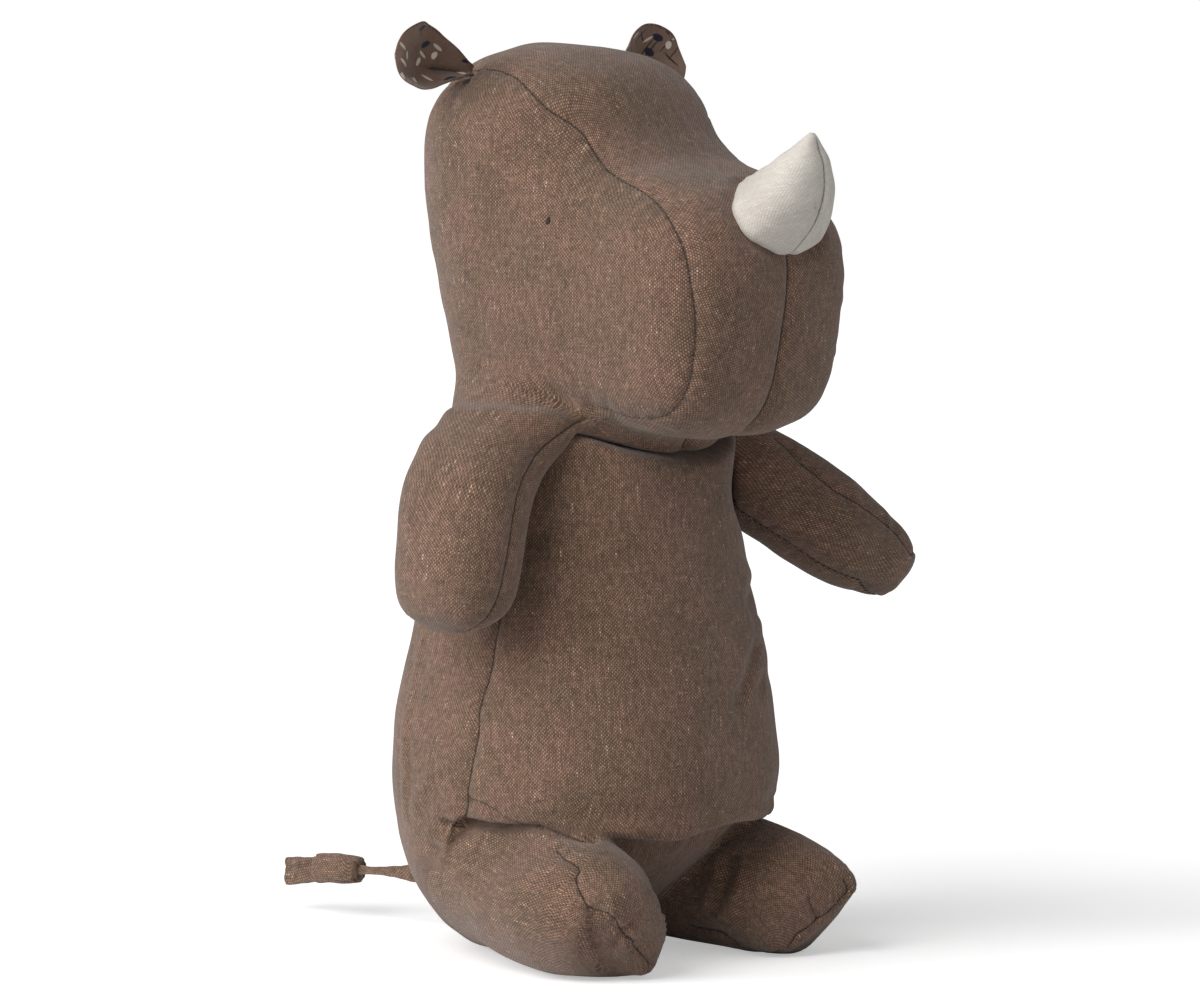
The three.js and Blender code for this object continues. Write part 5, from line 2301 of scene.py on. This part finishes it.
@dataclass
class Stitching:
    """Short stitches laid along lines on the cloth by a node tree."""

    name: str
    pitch: float
    length: float
    radius: float = 0.15
    turn: float = 90.0  # from the line's own direction, in degrees
    lift: float = 0.1
    sway: float = 0.35  # how far one strays from that direction, in radians
    arch: Pair = (-2.0, 2.4)  # heights of its ends and middle, in radii
    seed: int = 71

    def tree(self, thread: Material) -> bpy.types.NodeTree:
        """Makes the node tree.

        Args:
            thread: the finish of the stitches.

        Returns:
            A tree that turns lines into stitches, with the sizes of a stitch as its inputs.
        """
        tree = bpy.data.node_groups.new(self.name, "GeometryNodeTree")
        tree.interface.new_socket("Geometry", in_out="INPUT", socket_type="NodeSocketGeometry")
        for name in ("Pitch", "Length", "Radius", "Turn"):
            tree.interface.new_socket(name, in_out="INPUT", socket_type="NodeSocketFloat")
        tree.interface.new_socket("Seed", in_out="INPUT", socket_type="NodeSocketInt")
        tree.interface.new_socket("Geometry", in_out="OUTPUT", socket_type="NodeSocketGeometry")
        web = Wiring(tree)
        given = web.add("NodeGroupInput").outputs
        lines = web.add("GeometryNodeMeshToCurve", {"Mesh": given["Geometry"]}).outputs[0]
        dots = web.add("GeometryNodeResampleCurve", {"Curve": lines, "Length": given["Pitch"]}, mode="LENGTH")
        outward = web.add("GeometryNodeInputNamedAttribute", {"Name": OUTWARD_MARK}, data_type="FLOAT_VECTOR")
        tangent = web.add("GeometryNodeInputTangent").outputs[0]
        align = "FunctionNodeAlignRotationToVector"
        flat = web.add(align, {"Vector": outward.outputs["Attribute"]}, axis="Z").outputs[0]
        lined = web.add(align, {"Rotation": flat, "Vector": tangent}, axis="X", pivot_axis="Z")
        uneven = web.add("FunctionNodeRandomValue", {
            "Min": -self.sway, "Max": self.sway, "Seed": given["Seed"]}, data_type="FLOAT").outputs["Value"]
        spin = web.add("ShaderNodeCombineXYZ", {2: web.plus(given["Turn"], uneven)}).outputs[0]
        spin = web.add("FunctionNodeEulerToRotation", {0: spin}).outputs[0]
        turned = web.add("FunctionNodeRotateRotation", {"Rotation": lined.outputs[0], "Rotate By": spin},
                         rotation_space="LOCAL")
        placed = web.add("GeometryNodeInstanceOnPoints", {
            "Points": dots.outputs[0], "Instance": self.stitch(web, given), "Rotation": turned.outputs[0]})
        real = web.add("GeometryNodeRealizeInstances", {0: placed.outputs[0]})
        smooth = web.add("GeometryNodeSetShadeSmooth", {0: real.outputs[0]})
        dressed = web.add("GeometryNodeSetMaterial", {"Geometry": smooth.outputs[0], "Material": thread})
        web.add("NodeGroupOutput", {0: dressed.outputs[0]})
        return tree

    def stitch(self, web: Wiring, given: object) -> Socket:
        """One stitch: a short arched length of thread."""
        half = web.times(given["Length"], 0.5)
        low, high = (web.times(given["Radius"], size) for size in self.arch)
        start = web.add("ShaderNodeCombineXYZ", {0: web.times(half, -1.0), 2: low}).outputs[0]
        middle = web.add("ShaderNodeCombineXYZ", {2: high}).outputs[0]
        end = web.add("ShaderNodeCombineXYZ", {0: half, 2: low}).outputs[0]
        arch = web.add("GeometryNodeCurveQuadraticBezier", {
            "Resolution": 5, "Start": start, "Middle": middle, "End": end}).outputs[0]
        inputs = {"Resolution": 6, "Radius": given["Radius"]}
        section = web.add("GeometryNodeCurvePrimitiveCircle", inputs).outputs[0]
        return web.add("GeometryNodeCurveToMesh", {
            "Curve": arch, "Profile Curve": section, "Fill Caps": True}).outputs[0]

    def make(self, lines: list[tuple[Array, Array]], wardrobe: Wardrobe) -> Object:
        """Lays the stitches.

        Args:
            lines: each line's points and outward directions.
            wardrobe: the finishes.

        Returns:
            The piece.
        """
        starts = np.cumsum([0] + [len(line) for line, _ in lines])
        edges = [(i, i + 1) for start, end in zip(starts, starts[1:]) for i in range(start, end - 1)]
        points = np.concatenate([line + self.lift * outward for line, outward in lines])
        mesh = bpy.data.meshes.new(self.name)
        mesh.from_pydata(to_row(points).tolist(), edges, [])
        outward = np.concatenate([outward for _, outward in lines]).astype(np.float32)
        mesh.attributes.new(OUTWARD_MARK, "FLOAT_VECTOR", "POINT").data.foreach_set("vector", outward.ravel())
        draft = make_object(self.name + "_lines", mesh)
        modifier = draft.modifiers.new("stitches", "NODES")
        modifier.node_group = self.tree(wardrobe.thread)
        sockets = {item.name: item.identifier for item in modifier.node_group.interface.items_tree
                   if item.in_out == "INPUT"}
        for name, value in (
            ("Pitch", self.pitch * MILLIMETRE), ("Length", self.length * MILLIMETRE),
            ("Radius", self.radius * MILLIMETRE), ("Turn", math.radians(self.turn)), ("Seed", self.seed),
        ):
            modifier[sockets[name]] = value
        made = make_object(self.name, evaluated_mesh(draft))
        bpy.data.objects.remove(draft)
        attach(made, BODY)
        return made


# ------------------------------------------------------------------ studio


@dataclass
class Studio:
    """A pale floor, two large soft lights from the toy's right, two weak ones, and the camera."""

    bearing: float = math.radians(47)
    target: Triple = (3.7, -4.0, 165.5)
    distance: float = 2200.0
    height: float = 328.0
    pixel: float = 0.364  # millimetres at the target
    picture_width: int = 1200
    sensor: float = 36.0
    floor_radius: float = 6000.0
    ambient: float = 0.1
    away: Array = field(init=False)  # from the toy towards the camera, level
    right: Array = field(init=False)
    eye: Array = field(init=False)

    def __post_init__(self) -> None:
        """Works out the camera's directions and place."""
        self.away = np.array([-math.sin(self.bearing), -math.cos(self.bearing), 0.0])
        self.right = np.array([math.cos(self.bearing), -math.sin(self.bearing), 0.0])
        rise = (self.height - self.target[2]) / self.distance
        self.eye = np.array(self.target) + self.distance * (
            self.away * math.sqrt(1 - rise**2) + np.array([0, 0, rise]))

    def aim(self, thing: Object, place: Array, target: Array) -> None:
        """Puts a camera or light somewhere and turns it to face a point."""
        thing.location = Vector(to_row(place))
        thing.rotation_euler = Vector(to_row(target) - to_row(place)).to_track_quat("-Z", "Y").to_euler()

    def add_camera(self) -> None:
        """Makes the camera and chooses it."""
        data = bpy.data.cameras.new("camera")
        data.lens = self.sensor * self.distance / (self.picture_width * self.pixel)
        data.sensor_width = self.sensor
        data.sensor_fit = "HORIZONTAL"
        data.clip_end = 100.0
        camera = make_object("camera", data)
        self.aim(camera, self.eye, np.array(self.target))
        bpy.context.scene.camera = camera

    def add_sun(self, name: str, direction: Triple, spread: float, power: float) -> None:
        """Adds a light as soft and even as a very large one far away.

        Args:
            name: its name.
            direction: how far to the camera's right, towards the camera, and up it comes from.
            spread: its apparent size in degrees.
            power: its power for each square metre.
        """
        data = bpy.data.lights.new(name, "SUN")
        data.angle = math.radians(spread)
        data.energy = power
        light = make_object(name, data)
        where = self.right * direction[0] + self.away * direction[1] + np.array([0, 0, direction[2]])
        self.aim(light, 1000 * where, np.zeros(3))

    def add_world(self) -> None:
        """Surrounds the toy with a white room whose light on it is weaker than it looks."""
        world = bpy.data.worlds.new("studio")
        world.use_nodes = True
        web = Wiring(world.node_tree)
        seen = web.add("ShaderNodeLightPath").outputs["Is Camera Ray"]
        strength = web.linear(seen, 1.0 - self.ambient, self.ambient)
        background = world.node_tree.nodes["Background"]
        background.inputs["Color"].default_value = (1, 1, 1, 1)
        web.feed(background.inputs["Strength"], strength)
        bpy.context.scene.world = world

    def add_floor(self) -> None:
        """Adds the floor."""
        corners = [(-1, -1), (1, -1), (1, 1), (-1, 1)]
        points = np.array([(x * self.floor_radius, y * self.floor_radius, 0.0) for x, y in corners])
        floor = make_object("floor", make_mesh("floor", points, [(0, 1, 2, 3)]))
        floor.data.materials.append(Floor("floor").make())

    def build(self) -> None:
        """Sets the studio up."""
        bpy.context.scene.view_settings.view_transform = "Standard"
        self.add_camera()
        self.add_floor()
        self.add_world()
        self.add_sun("side_window", (-0.91, 0.33, 0.26), 32.0, 1.85)
        self.add_sun("key", (-0.49, 0.59, 0.64), 38.0, 1.9)
        self.add_sun("top", (0.37, 0.21, 0.91), 80.0, 0.4)
        self.add_sun("fill", (0.5, 0.85, 0.15), 60.0, 0.32)


# ------------------------------------------------------------------ the whole toy


def lay_stitches(upper: HeadAndArms, lower: BodyAndLegs, wardrobe: Wardrobe) -> None:
    """Lays the stitches that show in the seams.

    Args:
        upper: the head and arms.
        lower: the body and legs.
        wardrobe: the finishes.
    """
    above = ("cheek_right", "cheek_left", "centre", "arm_right", "arm_left")
    below = ("side_right", "side_left", "toe_right", "sole_left", "leg_right")
    sewn = [upper.stitch_line(name) for name in above] + [lower.stitch_line(name) for name in below]
    closed = [upper.stitch_line("arm_left_closing")]
    back, outward = lower.stitch_line("back")
    by_hand = (back[:, 2] < lower.closing[0]) & (back[:, 2] > lower.closing[1])
    closed.append((back[by_hand], outward[by_hand]))
    for stitching, lines in (
        (Stitching("seam_stitches", pitch=2.1, length=1.0), sewn),
        (Stitching(
            "closing_stitches", pitch=2.6, length=2.4, radius=0.2, turn=68.0, lift=0.25, seed=72), closed),
    ):
        made = stitching.make(lines, wardrobe)
        log.info("%s: %d faces", made.name, len(made.data.polygons))


def main() -> None:
    """Builds the toy piece by piece."""
    logging.basicConfig(level=logging.INFO, format="%(message)s")
    Studio().build()
    wardrobe = Wardrobe()
    neck = Neck()
    torso = TorsoForm(neck)
    head = HeadForm()
    head_and_arms = HeadAndArms(HeadAndArmsForm(head, torso, neck))
    head_and_arms.build()
    log.info("head_and_arms: %d points", len(head_and_arms.skin.rest))
    body_and_legs = BodyAndLegs(BodyAndLegsForm(torso))
    body_and_legs.build()
    log.info("body_and_legs: %d points", len(body_and_legs.skin.rest))
    eyes = [Eye(side, head_and_arms.eye) for side in (-1, 1)]
    for maker in [head_and_arms, body_and_legs, Horn(head), *ears(), *eyes, *tail_parts()]:
        made = maker.finish(wardrobe)
        log.info("%s: %d faces", made.name, len(made.data.polygons))
    lay_stitches(head_and_arms, body_and_legs, wardrobe)


if __name__ == "__main__":
    main()
